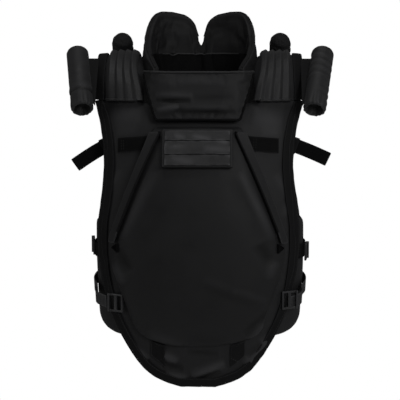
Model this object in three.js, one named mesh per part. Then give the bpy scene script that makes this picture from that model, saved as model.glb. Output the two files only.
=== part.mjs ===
// Body armour vest: a padded front carrier with a large plate pocket and a tail, a back carrier,
// side wings, a standing collar with a throat guard, ribbed shoulder pads with rolls, webbing and buckles.
// Millimetres. The wearer faces -Y, +X is the wearer's left and +Z is up. The origin is midway between
// the shoulders, level with the undersides of the shoulder saddles, where the vest sits on the wearer.
import * as THREE from "three";

// Thicknesses and gaps
const CARRIER_THICK = 18; // soft armour panel in its cover
const WING_THICK = 14;
const SADDLE_CREST_THICK = 14; // the saddles thin out towards the top of the shoulder
const TAPE_THICK = 2.5; // edge binding
const WEBBING_THICK = 2;
const LAYER_GAP = 1.5; // between one layer and the next
const JOINT_GAP = 1; // between two pieces that butt together

// Torso form: the inner faces of the carriers, section by section
const SQUARENESS = 2.4; // 2 is an ellipse, higher is boxier
const TORSO_SECTIONS = [
  { z: -640, half: 206, front: 113, back: 90 },
  { z: -560, half: 208, front: 126, back: 94 },
  { z: -430, half: 215, front: 136, back: 98 },
  { z: -320, half: 216, front: 138, back: 106 },
  { z: -200, half: 209, front: 131, back: 114 },
  { z: -130, half: 206, front: 117, back: 110 },
  { z: -66, half: 205, front: 88, back: 92 },
];

// Front carrier: half width of its outer face, from the tail to the shoulder
const SHOULDER_Z = -74; // the carriers end here and the shoulder saddles begin
const TAIL_Z = -632;
const FRONT_EDGE = [
  { z: -632, half: 34 },
  { z: -624, half: 62 },
  { z: -610, half: 90 },
  { z: -588, half: 112 },
  { z: -555, half: 135 },
  { z: -516, half: 157 },
  { z: -468, half: 177 },
  { z: -400, half: 192 },
  { z: -320, half: 196 },
  { z: -255, half: 187 },
  { z: -190, half: 182 },
  { z: -130, half: 188 },
  { z: -74, half: 204 },
];
const FRONT_COLUMNS = 14;
const FRONT_ROWS = 20;
const FRONT_ROW_EASE = 1.5; // rows crowd together round the tail
const NECK_SHARE = 0.47; // share of the half width taken by the neck opening
const FRONT_NECK_DIP = 20;

// Back carrier: plain, with rounded lower corners
const BACK_Z = -515;
const BACK_EDGE = [
  { z: -515, half: 158 },
  { z: -506, half: 178 },
  { z: -486, half: 192 },
  { z: -420, half: 202 },
  { z: -330, half: 204 },
  { z: -255, half: 192 },
  { z: -190, half: 186 },
  { z: -130, half: 188 },
  { z: -74, half: 204 },
];
const BACK_COLUMNS = 14;
const BACK_ROWS = 14;
const BACK_ROW_EASE = 1.3;
const BACK_NECK_DIP = 0;

const BINDING_WIDTH = 24;
const TAIL_TAPE = { width: 15, from: -330, to: -560 }; // a carrier's tape narrows down to this
const BINDING_FOLDS = 3; // outer face, edge and inner face

// Side wings: turn is degrees round from the front centre line
const WING_TURNS = { front: 34, back: 132 };
const WING_EDGES = [
  { turn: 34, bottom: -544, top: -280 },
  { turn: 60, bottom: -536, top: -298 },
  { turn: 90, bottom: -512, top: -318 },
  { turn: 112, bottom: -494, top: -306 },
  { turn: 132, bottom: -492, top: -284 },
];
const WING_COLUMNS = 10;
const WING_ROWS = 5;

// Front plate pocket: half width of its seam, and the height of its padding above the seam
const POCKET_EDGE = [
  { z: -549, half: 30 },
  { z: -545, half: 70 },
  { z: -535, half: 100 },
  { z: -514, half: 121 },
  { z: -480, half: 134 },
  { z: -440, half: 150 },
  { z: -395, half: 166 },
  { z: -350, half: 167 },
  { z: -300, half: 152 },
  { z: -120, half: 84 },
];
const POCKET = { bottom: -549, top: -120, edgeThick: 7, crown: 21, columns: 12, rows: 15, rowEase: 1.4 };
const POCKET_FULLNESS = 4; // how far the crown stays full before it falls to the seam

// Chest panel: a flat patch board with three webbing bands, leaning back on the top of the pocket
const PANEL = { width: 133, height: 74, centreZ: -160, leanDeg: 19, standOff: 7, columns: 8, rows: 4 };
const PANEL_BANDS = [
  { name: "panel_band_top", centre: 25, height: 18 },
  { name: "panel_band_middle", centre: 1.5, height: 25 },
  { name: "panel_band_bottom", centre: -23, height: 20 },
];
const PANEL_BAND_WIDTH = 124;
const BAND_GAP = 0.5;

// Plackets over the pocket's slanting upper edges
const PLACKET = { topZ: -131, bottomZ: -346, inset: 0, width: 20, thick: 3.5, rows: 9 };

// Webbing on the front carrier
const CHEST_STRIP = { outer: 156, z: -153, drop: 6, width: 28, pocketGap: 3, columns: 3 };
const TAIL_STRAP_ENDS = { top: [-549, -541], bottom: [-594, -570] }; // heights at its inner and outer edges
const TAIL_STRAP = { x: 78, width: 28, columns: 2, rows: 3 };

// Loose strap ends at the armholes: the places of their tips
const STRAP_END = { z: -154, tuck: 18, out: -14, reach: 2.2, width: 28, from: 0, to: 1, forward: 0, rows: 9 };
const STRAP_ENDS = [
  { side: "right", sign: -1, tipX: 246, tipZ: -204 },
  { side: "left", sign: 1, tipX: 255, tipZ: -191 },
];
const KEEPER = { from: 0.52, to: 0.66, width: 33, forward: WEBBING_THICK + LAYER_GAP, rows: 2 };

// Throat guard: rows from its lower edge to its upper edge; sweep is how far its sides bend back
const GUARD_ROWS = [
  { z: -108, half: 81, sweep: 4, front: 129 },
  { z: -85, half: 89, sweep: 8, front: 128 },
  { z: -62, half: 96, sweep: 13, front: 126 },
  { z: -39, half: 102, sweep: 24, front: 123 },
  { z: -17, half: 107, sweep: 36, front: 119 },
];
const GUARD = { thick: 14, sideThick: 8, flatShare: 0.82, columns: 12 };

// Standing collar: one row for each section from the back centre notch round to the front end
const COLLAR_ROWS = [
  { turn: 0, top: 26, bottom: -88 },
  { turn: 6, top: 78, bottom: -88 },
  { turn: 14, top: 90, bottom: -87 },
  { turn: 30, top: 96, bottom: -86 },
  { turn: 46, top: 97, bottom: -84 },
  { turn: 60, top: 91, bottom: -83 },
  { turn: 72, top: 73, bottom: -83 },
  { turn: 84, top: 51, bottom: -84 },
  { turn: 97, top: 34, bottom: -85 },
  { turn: 112, top: 14, bottom: -85 },
  { turn: 132, top: -12, bottom: -76 },
];
const COLLAR = { half: 112, back: 84, front: 134, thick: 14, taper: 0.0001, taperZ: 20, rows: 5 };

// Shoulder saddles: half round straps from the front carrier to the back carrier
const SADDLE_COLUMNS = 4;
const SADDLE_ROWS = 14;
const SADDLE_OUTER_DROP = 3; // the crest falls away towards the arm
const SHOULDER_TAPER = 0.62; // share of the saddle's width where that fall begins

// Ribbed pads on the saddles
const PAD = { inner: 121, outer: 176, flare: 16, flareEase: 8, fromDeg: 1, rows: 10 };
const PAD_RIBS = { count: 4, valley: 5, ridge: 9 }; // thickness in the seams and on the ribs

// Rolls: round bolsters beside the shoulders in front and behind them at the back
const ROLL_SIDES = 12;
const FRONT_ROLL = { radius: 22, top: [246, -8, 22], bottom: [224, -117, -90], round: 7, dome: 7 };
const REAR_ROLL = { radius: 21, top: [162, 63, 51], bottom: [162, 122, -41], round: 7, dome: 15 };
const DOME_SHOULDER = { radius: 0.75, height: 0.7 }; // shares of a roll's radius and of its dome
// from and to are shares of the roll
const ROLL_FLAP = { inner: 209.5, from: 0.42, to: 0.8, thick: 3, rows: 4 };

// Side straps and their buckles on the wings; the lower ones cross onto the front carrier
const UPPER_STRAP = { z: -376, width: 28, fromTurn: 67, toTurn: 110, columns: 8 };
const UPPER_BUCKLE = { turnDeg: 84, width: 36, height: 34 };
const LOWER_BUCKLE = { x: 164, z: -474, width: 34, height: 36 };
const LOWER_STRAP = { width: 24, fromTurn: 45.8, toTurn: 104, frontZ: -468, backZ: -440, columns: 14 };
const LOWER_STRAP_RAMP = { from: 53, to: 74 }; // turns between which it comes down to the wing
const LOWER_STRAP_BOW = { from: 66, to: 100, height: 4 }; // slack that stands off the wing
const BUCKLE_FRAME = { thick: 5, rim: 5, bar: 5, bevel: 0.8, corner: 4 };

const FABRIC = { color: 0x18181a, roughness: 0.85, metalness: 0 };
const TRIM = { color: 0x101011, roughness: 0.8, metalness: 0 };
const BLACK_WEBBING = { color: 0x08080a, roughness: 0.9, metalness: 0 };
const PLASTIC = { color: 0x141416, roughness: 0.4, metalness: 0 };

const vest = new THREE.Group();

// Adds one named piece.
function addPiece(name, geometry, finish, parent = vest) {
  const mesh = new THREE.Mesh(geometry, new THREE.MeshStandardMaterial(finish));
  mesh.name = name;
  parent.add(mesh);
  return mesh;
}

// A smooth function of one table column, against another.
function track(rows, against, column) {
  const steps = rows.map((row) => row[against]);
  const values = rows.map((row) => row[column]);
  const spline = new THREE.CubicInterpolant(steps, values, 1);
  return (at) => spline.evaluate(THREE.MathUtils.clamp(at, steps[0], steps.at(-1)))[0];
}

const signedPower = (value, power) => Math.sign(value) * Math.abs(value) ** power;
const lerp = THREE.MathUtils.lerp;
const radians = THREE.MathUtils.degToRad;

// A geometry with its faces pointing out, from points and triangles in either winding.
function closedGeometry(points, triangles) {
  let volume = 0;
  for (let i = 0; i < triangles.length; i += 3) {
    const [a, b, c] = [points[triangles[i]], points[triangles[i + 1]], points[triangles[i + 2]]];
    volume += a.dot(b.clone().cross(c));
  }
  const index = volume < 0 ? triangles.slice().reverse() : triangles;
  const geometry = new THREE.BufferGeometry().setFromPoints(points).setIndex(index);
  geometry.computeVertexNormals();
  return geometry;
}

// A closed wall over a grid. place(u, v, side) gives the point at shares u and v of the grid,
// on the inner face (side 0) or the outer face (side 1).
function wall(columns, rows, place) {
  const points = [];
  for (const side of [0, 1])
    for (let j = 0; j <= rows; j++)
      for (let i = 0; i <= columns; i++) points.push(place(i / columns, j / rows, side));
  const at = (i, j, side) => (side * (rows + 1) + j) * (columns + 1) + i;
  const triangles = [];
  const quad = (a, b, c, d) => triangles.push(a, b, c, a, c, d);
  for (let j = 0; j < rows; j++)
    for (let i = 0; i < columns; i++) {
      quad(at(i, j, 1), at(i + 1, j, 1), at(i + 1, j + 1, 1), at(i, j + 1, 1));
      quad(at(i, j, 0), at(i, j + 1, 0), at(i + 1, j + 1, 0), at(i + 1, j, 0));
    }
  for (let i = 0; i < columns; i++) {
    quad(at(i, 0, 0), at(i + 1, 0, 0), at(i + 1, 0, 1), at(i, 0, 1));
    quad(at(i, rows, 1), at(i + 1, rows, 1), at(i + 1, rows, 0), at(i, rows, 0));
  }
  for (let j = 0; j < rows; j++) {
    quad(at(0, j, 1), at(0, j + 1, 1), at(0, j + 1, 0), at(0, j, 0));
    quad(at(columns, j, 0), at(columns, j + 1, 0), at(columns, j + 1, 1), at(columns, j, 1));
  }
  return closedGeometry(points, triangles);
}

// Torso form
const torsoHalf = track(TORSO_SECTIONS, "z", "half");
const torsoFront = track(TORSO_SECTIONS, "z", "front");
const torsoBack = track(TORSO_SECTIONS, "z", "back");

// The point at a turn round the torso and a height, out millimetres outside the carriers' inner faces.
function torsoPoint(turn, z, out) {
  const depth = Math.cos(turn) > 0 ? torsoFront(z) : torsoBack(z);
  const x = (torsoHalf(z) + out) * signedPower(Math.sin(turn), 2 / SQUARENESS);
  const y = -(depth + out) * signedPower(Math.cos(turn), 2 / SQUARENESS);
  return new THREE.Vector3(x, y, z);
}

// The turn from the centre line at which the torso form, out millimetres outside, is x wide.
function turnAt(x, z, out) {
  return Math.asin(Math.min(1, (x / (torsoHalf(z) + out)) ** (SQUARENESS / 2)));
}

// Across the surface at a turn and height: the turn that one millimetre takes.
function turnPerMillimetre(turn, z, out) {
  const step = 0.01;
  return step / torsoPoint(turn + step / 2, z, out).distanceTo(torsoPoint(turn - step / 2, z, out));
}

// A carrier's outline: half its turn at a height, and its upper edge across the neck and shoulders.
function carrierForm(edge, bottom, rowEase, neckDip, facing) {
  const halfWidth = track(edge, "z", "half");
  const edgeTurn = (z) => turnAt(halfWidth(z), z, CARRIER_THICK);
  const upperEdge = (across) => {
    const neck = Math.cos((Math.PI / 2) * Math.min(1, Math.abs(across) / NECK_SHARE));
    return SHOULDER_Z - JOINT_GAP - neckDip * neck ** 2;
  };
  // across runs from -1 to 1 between the side edges, up from 0 at the lower edge to 1 at the upper one
  const address = (across, up) => {
    const z = lerp(bottom, upperEdge(across), up ** rowEase);
    return { turn: facing + across * edgeTurn(z), z };
  };
  return { edgeTurn, address };
}

const frontForm = carrierForm(FRONT_EDGE, TAIL_Z, FRONT_ROW_EASE, FRONT_NECK_DIP, 0);
const backForm = carrierForm(BACK_EDGE, BACK_Z, BACK_ROW_EASE, BACK_NECK_DIP, Math.PI);

function carrier(form, columns, rows) {
  return wall(columns, rows, (u, v, side) => {
    const { turn, z } = form.address(2 * u - 1, v);
    return torsoPoint(turn, z, side * CARRIER_THICK);
  });
}

// The stations of a carrier's bound edge: down one side, along the lower edge and up the other side.
function boundStations(form, columns, rows) {
  const stations = [];
  for (let j = rows; j > 0; j--) stations.push(form.address(-1, j / rows));
  for (let i = 0; i <= columns; i++) stations.push(form.address((2 * i) / columns - 1, 0));
  for (let j = 1; j <= rows; j++) stations.push(form.address(1, j / rows));
  return stations;
}

// Binding tape folded over a carrier's edge: outer face, round the edge, inner face.
function edgeBinding(form, columns, rows) {
  const stations = boundStations(form, columns, rows);
  const last = stations.length - 1;
  return wall(BINDING_FOLDS, last, (u, v, side) => {
    const here = Math.round(v * last);
    const station = stations[here];
    const before = stations[Math.max(0, here - 1)];
    const after = stations[Math.min(last, here + 1)];
    // the way into the panel, square to the edge, in millimetres of turn and height
    const perMillimetre = turnPerMillimetre(station.turn, station.z, CARRIER_THICK);
    const sideways = (after.turn - before.turn) / perMillimetre;
    const along = new THREE.Vector2(sideways, after.z - before.z).normalize();
    const inwards = new THREE.Vector2(-along.y, along.x);
    const clear = LAYER_GAP + side * TAPE_THICK;
    const fold = Math.round(u * BINDING_FOLDS);
    const narrowing = THREE.MathUtils.smoothstep(-station.z, -TAIL_TAPE.from, -TAIL_TAPE.to);
    const width = lerp(BINDING_WIDTH, TAIL_TAPE.width, narrowing);
    const depth = fold === 0 || fold === BINDING_FOLDS ? width : -clear;
    const out = fold < 2 ? CARRIER_THICK + clear : -clear;
    const z = Math.min(SHOULDER_Z - JOINT_GAP, station.z + inwards.y * depth);
    return torsoPoint(station.turn + inwards.x * depth * perMillimetre, z, out);
  });
}

const SIDES = [
  { side: "right", sign: -1 },
  { side: "left", sign: 1 },
];

// Mirrors a point to the wearer's right for sign -1.
const toSide = (point, sign) => point.setX(point.x * sign);

// Side wings, inside the carriers and their bindings
const WING_OUT = -(2 * LAYER_GAP + TAPE_THICK);
const wingBottom = track(WING_EDGES, "turn", "bottom");
const wingTop = track(WING_EDGES, "turn", "top");

function sideWing(sign) {
  return wall(WING_COLUMNS, WING_ROWS, (u, v, side) => {
    const turn = lerp(WING_TURNS.front, WING_TURNS.back, u);
    const z = lerp(wingBottom(turn), wingTop(turn), v);
    return toSide(torsoPoint(radians(turn), z, WING_OUT - (1 - side) * WING_THICK), sign);
  });
}

// Front plate pocket, crowned over its plate
const POCKET_BASE = CARRIER_THICK + LAYER_GAP;
const pocketHalf = track(POCKET_EDGE, "z", "half");
const pocketTurn = (z) => turnAt(pocketHalf(z), z, POCKET_BASE);

// How far the pocket's outer face stands outside the carriers' inner faces.
function pocketOut(turn, z) {
  const across = Math.min(1, Math.abs(turn) / pocketTurn(z));
  const up = (z - POCKET.bottom) / (POCKET.top - POCKET.bottom);
  const ends = 1 - Math.abs(2 * up - 1) ** POCKET_FULLNESS;
  return POCKET_BASE + POCKET.edgeThick + POCKET.crown * (1 - across ** POCKET_FULLNESS) * ends;
}

function platePocket() {
  return wall(POCKET.columns, POCKET.rows, (u, v, side) => {
    const z = lerp(POCKET.bottom, POCKET.top, v ** POCKET.rowEase);
    const turn = (2 * u - 1) * pocketTurn(z);
    return torsoPoint(turn, z, side ? pocketOut(turn, z) : POCKET_BASE);
  });
}

// A placket strip along one of the pocket's slanting upper edges.
function placket(sign) {
  return wall(1, PLACKET.rows, (u, v, side) => {
    const z = lerp(PLACKET.bottomZ, PLACKET.topZ, v);
    const edge = pocketTurn(z);
    const inset = (PLACKET.inset + u * PLACKET.width) * turnPerMillimetre(edge, z, POCKET_BASE);
    const turn = edge - inset;
    const out = pocketOut(turn, z) + 2 * LAYER_GAP + side * PLACKET.thick;
    return toSide(torsoPoint(turn, z, out), sign);
  });
}

// The pocket's outer face in front of a point of the front view: its depth along Y.
function pocketDepth(x, z) {
  const steps = 4; // enough for the turn to settle
  let turn = 0;
  for (let step = 0; step < steps; step++) turn = turnAt(Math.abs(x), z, pocketOut(turn, z));
  return torsoPoint(turn, z, pocketOut(turn, z)).y;
}

// Chest panel: a flat face that leans back, padded down to the pocket behind it
const SIDEWAYS = new THREE.Vector3(1, 0, 0);
const panelLean = radians(PANEL.leanDeg);
const panelCentre = new THREE.Vector3(0, pocketDepth(0, PANEL.centreZ) - PANEL.standOff, PANEL.centreZ);

function chestPanel() {
  return wall(PANEL.columns, PANEL.rows, (u, v, side) => {
    const up = (v - 0.5) * PANEL.height;
    const face = new THREE.Vector3((u - 0.5) * PANEL.width, 0, up);
    face.applyAxisAngle(SIDEWAYS, -panelLean).add(panelCentre);
    return side ? face : face.setY(pocketDepth(face.x, face.z) - 2 * LAYER_GAP);
  });
}

// The panel's bands, in a group that leans back with it.
function panelBands() {
  const bands = new THREE.Group();
  bands.position.copy(panelCentre);
  bands.rotation.x = -panelLean;
  for (const { name, centre, height } of PANEL_BANDS) {
    const strip = new THREE.BoxGeometry(PANEL_BAND_WIDTH, WEBBING_THICK, height);
    addPiece(name, strip, TRIM, bands).position.set(0, -WEBBING_THICK / 2 - BAND_GAP, centre);
  }
  return bands;
}

// Webbing strips sewn flat on the front carrier
function chestStrip(sign) {
  return wall(CHEST_STRIP.columns, 1, (u, v, side) => {
    const z = CHEST_STRIP.z - CHEST_STRIP.drop * u + (v - 0.5) * CHEST_STRIP.width;
    const x = lerp(pocketHalf(z) + CHEST_STRIP.pocketGap, CHEST_STRIP.outer, u);
    const out = CARRIER_THICK + LAYER_GAP + side * WEBBING_THICK;
    return toSide(torsoPoint(turnAt(x, z, out), z, out), sign);
  });
}

function tailStrap(sign) {
  return wall(TAIL_STRAP.columns, TAIL_STRAP.rows, (u, v, side) => {
    const x = TAIL_STRAP.x + (u - 0.5) * TAIL_STRAP.width;
    const z = lerp(lerp(...TAIL_STRAP_ENDS.bottom, u), lerp(...TAIL_STRAP_ENDS.top, u), v);
    const out = CARRIER_THICK + LAYER_GAP + side * WEBBING_THICK;
    return toSide(torsoPoint(turnAt(x, z, out), z, out), sign);
  });
}

// Loose strap ends: each comes out from behind the front carrier and turns down in front view
function strapEndCurve({ sign, tipX, tipZ }) {
  const edge = frontForm.edgeTurn(STRAP_END.z);
  const tuck = STRAP_END.tuck * turnPerMillimetre(edge, STRAP_END.z, 0);
  const root = torsoPoint(edge - tuck, STRAP_END.z, STRAP_END.out);
  const leave = torsoPoint(edge, STRAP_END.z, STRAP_END.out);
  const bend = root.clone().lerp(leave, STRAP_END.reach);
  const tip = new THREE.Vector3(tipX, bend.y, tipZ);
  return new THREE.CubicBezierCurve3(...[root, leave, bend, tip].map((point) => toSide(point, sign)));
}

// A flat strip along a stretch of a curve, upright in its width and facing forwards.
function ribbon(curve, { from, to, width, rows, forward }) {
  const ahead = new THREE.Vector3(0, -1, 0);
  return wall(1, rows, (u, v, side) => {
    const share = lerp(from, to, v);
    const across = curve.getTangent(share).cross(ahead).normalize();
    const face = across.clone().cross(curve.getTangent(share)).normalize();
    if (face.y > 0) face.negate();
    return curve
      .getPoint(share)
      .addScaledVector(across, (u - 0.5) * width)
      .addScaledVector(face, forward + side * WEBBING_THICK);
  });
}

// Throat guard: a flat face whose sides bend back
const guardHalf = track(GUARD_ROWS, "z", "half");
const guardSweep = track(GUARD_ROWS, "z", "sweep");
const guardFront = track(GUARD_ROWS, "z", "front");

function throatGuard() {
  const [lowest, highest] = [GUARD_ROWS[0].z, GUARD_ROWS.at(-1).z];
  return wall(GUARD.columns, GUARD_ROWS.length - 1, (u, v, side) => {
    const across = 2 * u - 1;
    const z = lerp(lowest, highest, v);
    const bend = Math.max(0, (Math.abs(across) - GUARD.flatShare) / (1 - GUARD.flatShare));
    const x = across * (guardHalf(z) - (1 - side) * GUARD.sideThick * Math.abs(across));
    const y = -(guardFront(z) + side * GUARD.thick) + guardSweep(z) * bend;
    return new THREE.Vector3(x, y, z);
  });
}

// Standing collar, notched at the back centre
function neckCollar() {
  const sections = COLLAR_ROWS.length - 1;
  return wall(2 * sections, COLLAR.rows, (u, v, side) => {
    const step = Math.round(u * 2 * sections) - sections;
    const { turn, top, bottom } = COLLAR_ROWS[Math.abs(step)];
    const angle = radians(turn) * Math.sign(step);
    const z = lerp(bottom, top, v);
    const taper = 1 - COLLAR.taper * Math.max(0, z - COLLAR.taperZ);
    const inset = (1 - side) * COLLAR.thick;
    const depth = Math.abs(turn) > 90 ? COLLAR.front : COLLAR.back;
    const x = (COLLAR.half * taper - inset) * signedPower(Math.sin(angle), 2 / SQUARENESS);
    const y = (depth * taper - inset) * signedPower(Math.cos(angle), 2 / SQUARENESS);
    return new THREE.Vector3(x, y, z);
  });
}

// Shoulder saddles: swing runs from 0 at the front carrier over the crest to pi at the back carrier
const saddleEdgeTurn = frontForm.edgeTurn(SHOULDER_Z);

function saddleThick(swing) {
  return lerp(SADDLE_CREST_THICK, CARRIER_THICK, Math.cos(swing) ** 2);
}

function saddlePoint(turn, swing, out) {
  const front = torsoPoint(turn, SHOULDER_Z, out);
  const back = torsoPoint(Math.PI - turn, SHOULDER_Z, out);
  const share = Math.max(0, (turn / saddleEdgeTurn - SHOULDER_TAPER) / (1 - SHOULDER_TAPER));
  const crest = -SHOULDER_Z - SADDLE_OUTER_DROP * share ** 2 + out;
  const y = lerp(front.y, back.y, (1 - Math.cos(swing)) / 2);
  return new THREE.Vector3(front.x, y, SHOULDER_Z + crest * Math.sin(swing));
}

function saddle(sign) {
  return wall(SADDLE_COLUMNS, SADDLE_ROWS, (u, v, side) => {
    const swing = v * Math.PI;
    const turn = lerp(NECK_SHARE, 1, u) * saddleEdgeTurn;
    return toSide(saddlePoint(turn, swing, side * saddleThick(swing)), sign);
  });
}

// Binding over a saddle's outer edge.
function saddleBinding(sign) {
  return wall(BINDING_FOLDS, SADDLE_ROWS, (u, v, side) => {
    const swing = v * Math.PI;
    const clear = LAYER_GAP + side * TAPE_THICK;
    const fold = Math.round(u * BINDING_FOLDS);
    const depth = fold === 0 || fold === BINDING_FOLDS ? BINDING_WIDTH : -clear;
    const out = fold < 2 ? saddleThick(swing) + clear : -clear;
    const turn = saddleEdgeTurn - depth * turnPerMillimetre(saddleEdgeTurn, SHOULDER_Z, CARRIER_THICK);
    return toSide(saddlePoint(turn, swing, out), sign);
  });
}

// Ribbed pad on a saddle: its inner edge flares towards the throat at the front end
function shoulderPad(sign) {
  return wall(2 * PAD_RIBS.count, PAD.rows, (u, v, side) => {
    const swing = radians(lerp(PAD.fromDeg, 180 - PAD.fromDeg, v));
    const inner = PAD.inner - PAD.flare * Math.max(0, Math.cos(swing)) ** PAD.flareEase;
    const x = lerp(inner, PAD.outer, u);
    const onRib = Math.round(u * 2 * PAD_RIBS.count) % 2 === 1;
    const out = saddleThick(swing) + LAYER_GAP + side * (onRib ? PAD_RIBS.ridge : PAD_RIBS.valley);
    const turn = turnAt(x, SHOULDER_Z, CARRIER_THICK);
    return toSide(saddlePoint(turn, swing, out), sign);
  });
}

// A round bolster along the line from its bottom to its top, flat below and domed above
function roll({ radius, top, bottom, round, dome }, sign) {
  const [upper, lower] = [top, bottom].map((point) => toSide(new THREE.Vector3(...point), sign));
  const axis = upper.clone().sub(lower);
  const length = axis.length();
  const profile = [
    new THREE.Vector2(0, 0),
    new THREE.Vector2(radius - round, 0),
    new THREE.Vector2(radius, round),
    new THREE.Vector2(radius, length - dome),
    new THREE.Vector2(radius * DOME_SHOULDER.radius, length - dome * (1 - DOME_SHOULDER.height)),
    new THREE.Vector2(0, length),
  ];
  const geometry = new THREE.LatheGeometry(profile, ROLL_SIDES);
  const turn = new THREE.Quaternion().setFromUnitVectors(new THREE.Vector3(0, 1, 0), axis.normalize());
  return geometry.applyQuaternion(turn).translate(...lower.toArray());
}

// The flap that joins a front roll to the edge of its saddle: a flat strip along the roll.
function rollFlap(sign) {
  const { top, bottom, radius } = FRONT_ROLL;
  const upper = new THREE.Vector3(...top);
  const lower = new THREE.Vector3(...bottom);
  const outwards = SIDEWAYS.clone().cross(upper.clone().sub(lower)).normalize();
  return wall(1, ROLL_FLAP.rows, (u, v, side) => {
    const point = lower.clone().lerp(upper, lerp(ROLL_FLAP.from, ROLL_FLAP.to, v));
    point.setX(lerp(ROLL_FLAP.inner, point.x - radius - LAYER_GAP, u));
    return toSide(point.addScaledVector(outwards, (side - 0.5) * ROLL_FLAP.thick), sign);
  });
}

// Side straps on the wings
function upperStrap(sign) {
  return wall(UPPER_STRAP.columns, 1, (u, v, side) => {
    const turn = radians(lerp(UPPER_STRAP.fromTurn, UPPER_STRAP.toTurn, u));
    const z = UPPER_STRAP.z + (v - 0.5) * UPPER_STRAP.width;
    return toSide(torsoPoint(turn, z, WING_OUT + LAYER_GAP + side * WEBBING_THICK), sign);
  });
}

// The lower strap comes down from over the front binding to the wing.
const STRAP_OVER_BINDING = CARRIER_THICK + 2 * LAYER_GAP + TAPE_THICK;

function lowerStrap(sign) {
  return wall(LOWER_STRAP.columns, 1, (u, v, side) => {
    const turn = lerp(LOWER_STRAP.fromTurn, LOWER_STRAP.toTurn, u);
    const down = THREE.MathUtils.smoothstep(turn, LOWER_STRAP_RAMP.from, LOWER_STRAP_RAMP.to);
    const base = lerp(STRAP_OVER_BINDING, WING_OUT + LAYER_GAP, down);
    const along = THREE.MathUtils.inverseLerp(LOWER_STRAP_BOW.from, LOWER_STRAP_BOW.to, turn);
    const bow = LOWER_STRAP_BOW.height * Math.sin(Math.PI * THREE.MathUtils.clamp(along, 0, 1));
    const z = lerp(LOWER_STRAP.frontZ, LOWER_STRAP.backZ, u) + (v - 0.5) * LOWER_STRAP.width;
    return toSide(torsoPoint(radians(turn), z, base + bow + side * WEBBING_THICK), sign);
  });
}

// A ladder buckle: a bevelled frame with a cross bar, in the plane of its own X and Y.
function buckleGeometry({ width, height }) {
  const { rim, bar, corner, thick, bevel } = BUCKLE_FRAME;
  const outline = roundedRectangle(new THREE.Shape(), 0, 0, width, height, corner);
  const slotHeight = height - 2 * rim;
  const slotWidth = (width - 2 * rim - bar) / 2;
  for (const sign of [-1, 1]) {
    const centre = (sign * (slotWidth + bar)) / 2;
    outline.holes.push(roundedRectangle(new THREE.Path(), centre, 0, slotWidth, slotHeight, bevel));
  }
  const options = {
    depth: thick - 2 * bevel,
    bevelThickness: bevel,
    bevelSize: bevel,
    bevelOffset: -bevel,
    bevelSegments: 1,
    curveSegments: 1,
  };
  return new THREE.ExtrudeGeometry(outline, options).translate(0, 0, bevel);
}

function roundedRectangle(path, x, y, width, height, radius) {
  const [right, top] = [x + width / 2, y + height / 2];
  const [left, bottom] = [x - width / 2, y - height / 2];
  path.moveTo(left + radius, bottom);
  path.lineTo(right - radius, bottom);
  path.quadraticCurveTo(right, bottom, right, bottom + radius);
  path.lineTo(right, top - radius);
  path.quadraticCurveTo(right, top, right - radius, top);
  path.lineTo(left + radius, top);
  path.quadraticCurveTo(left, top, left, top - radius);
  path.lineTo(left, bottom + radius);
  path.quadraticCurveTo(left, bottom, left + radius, bottom);
  return path;
}

// Stands a buckle on the torso form, its back face out millimetres outside the carriers' inner faces.
function placeBuckle(name, size, { turn, z, out }, sign) {
  const step = 0.01;
  const across = torsoPoint(turn + step, z, out).sub(torsoPoint(turn - step, z, out)).normalize();
  const up = new THREE.Vector3(0, 0, 1);
  const outwards = across.clone().cross(up);
  const holder = new THREE.Group();
  toSide(across, sign).multiplyScalar(sign);
  const basis = new THREE.Matrix4().makeBasis(across, up, toSide(outwards, sign));
  holder.quaternion.setFromRotationMatrix(basis);
  holder.position.copy(toSide(torsoPoint(turn, z, out), sign));
  addPiece(name, buckleGeometry(size), PLASTIC, holder);
  vest.add(holder);
}

const upperBuckleSeat = {
  turn: radians(UPPER_BUCKLE.turnDeg),
  z: UPPER_STRAP.z,
  out: WING_OUT + 2 * LAYER_GAP + WEBBING_THICK,
};
const lowerBuckleSeat = {
  turn: turnAt(LOWER_BUCKLE.x, LOWER_BUCKLE.z, STRAP_OVER_BINDING),
  z: LOWER_BUCKLE.z,
  out: STRAP_OVER_BINDING + LAYER_GAP,
};

// The assembly
addPiece("front_carrier", carrier(frontForm, FRONT_COLUMNS, FRONT_ROWS), FABRIC);
addPiece("front_binding", edgeBinding(frontForm, FRONT_COLUMNS, FRONT_ROWS), TRIM);
addPiece("back_carrier", carrier(backForm, BACK_COLUMNS, BACK_ROWS), FABRIC);
addPiece("back_binding", edgeBinding(backForm, BACK_COLUMNS, BACK_ROWS), TRIM);
addPiece("plate_pocket", platePocket(), FABRIC);
addPiece("chest_panel", chestPanel(), FABRIC);
vest.add(panelBands());
addPiece("throat_guard", throatGuard(), FABRIC);
addPiece("neck_collar", neckCollar(), FABRIC);

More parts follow.
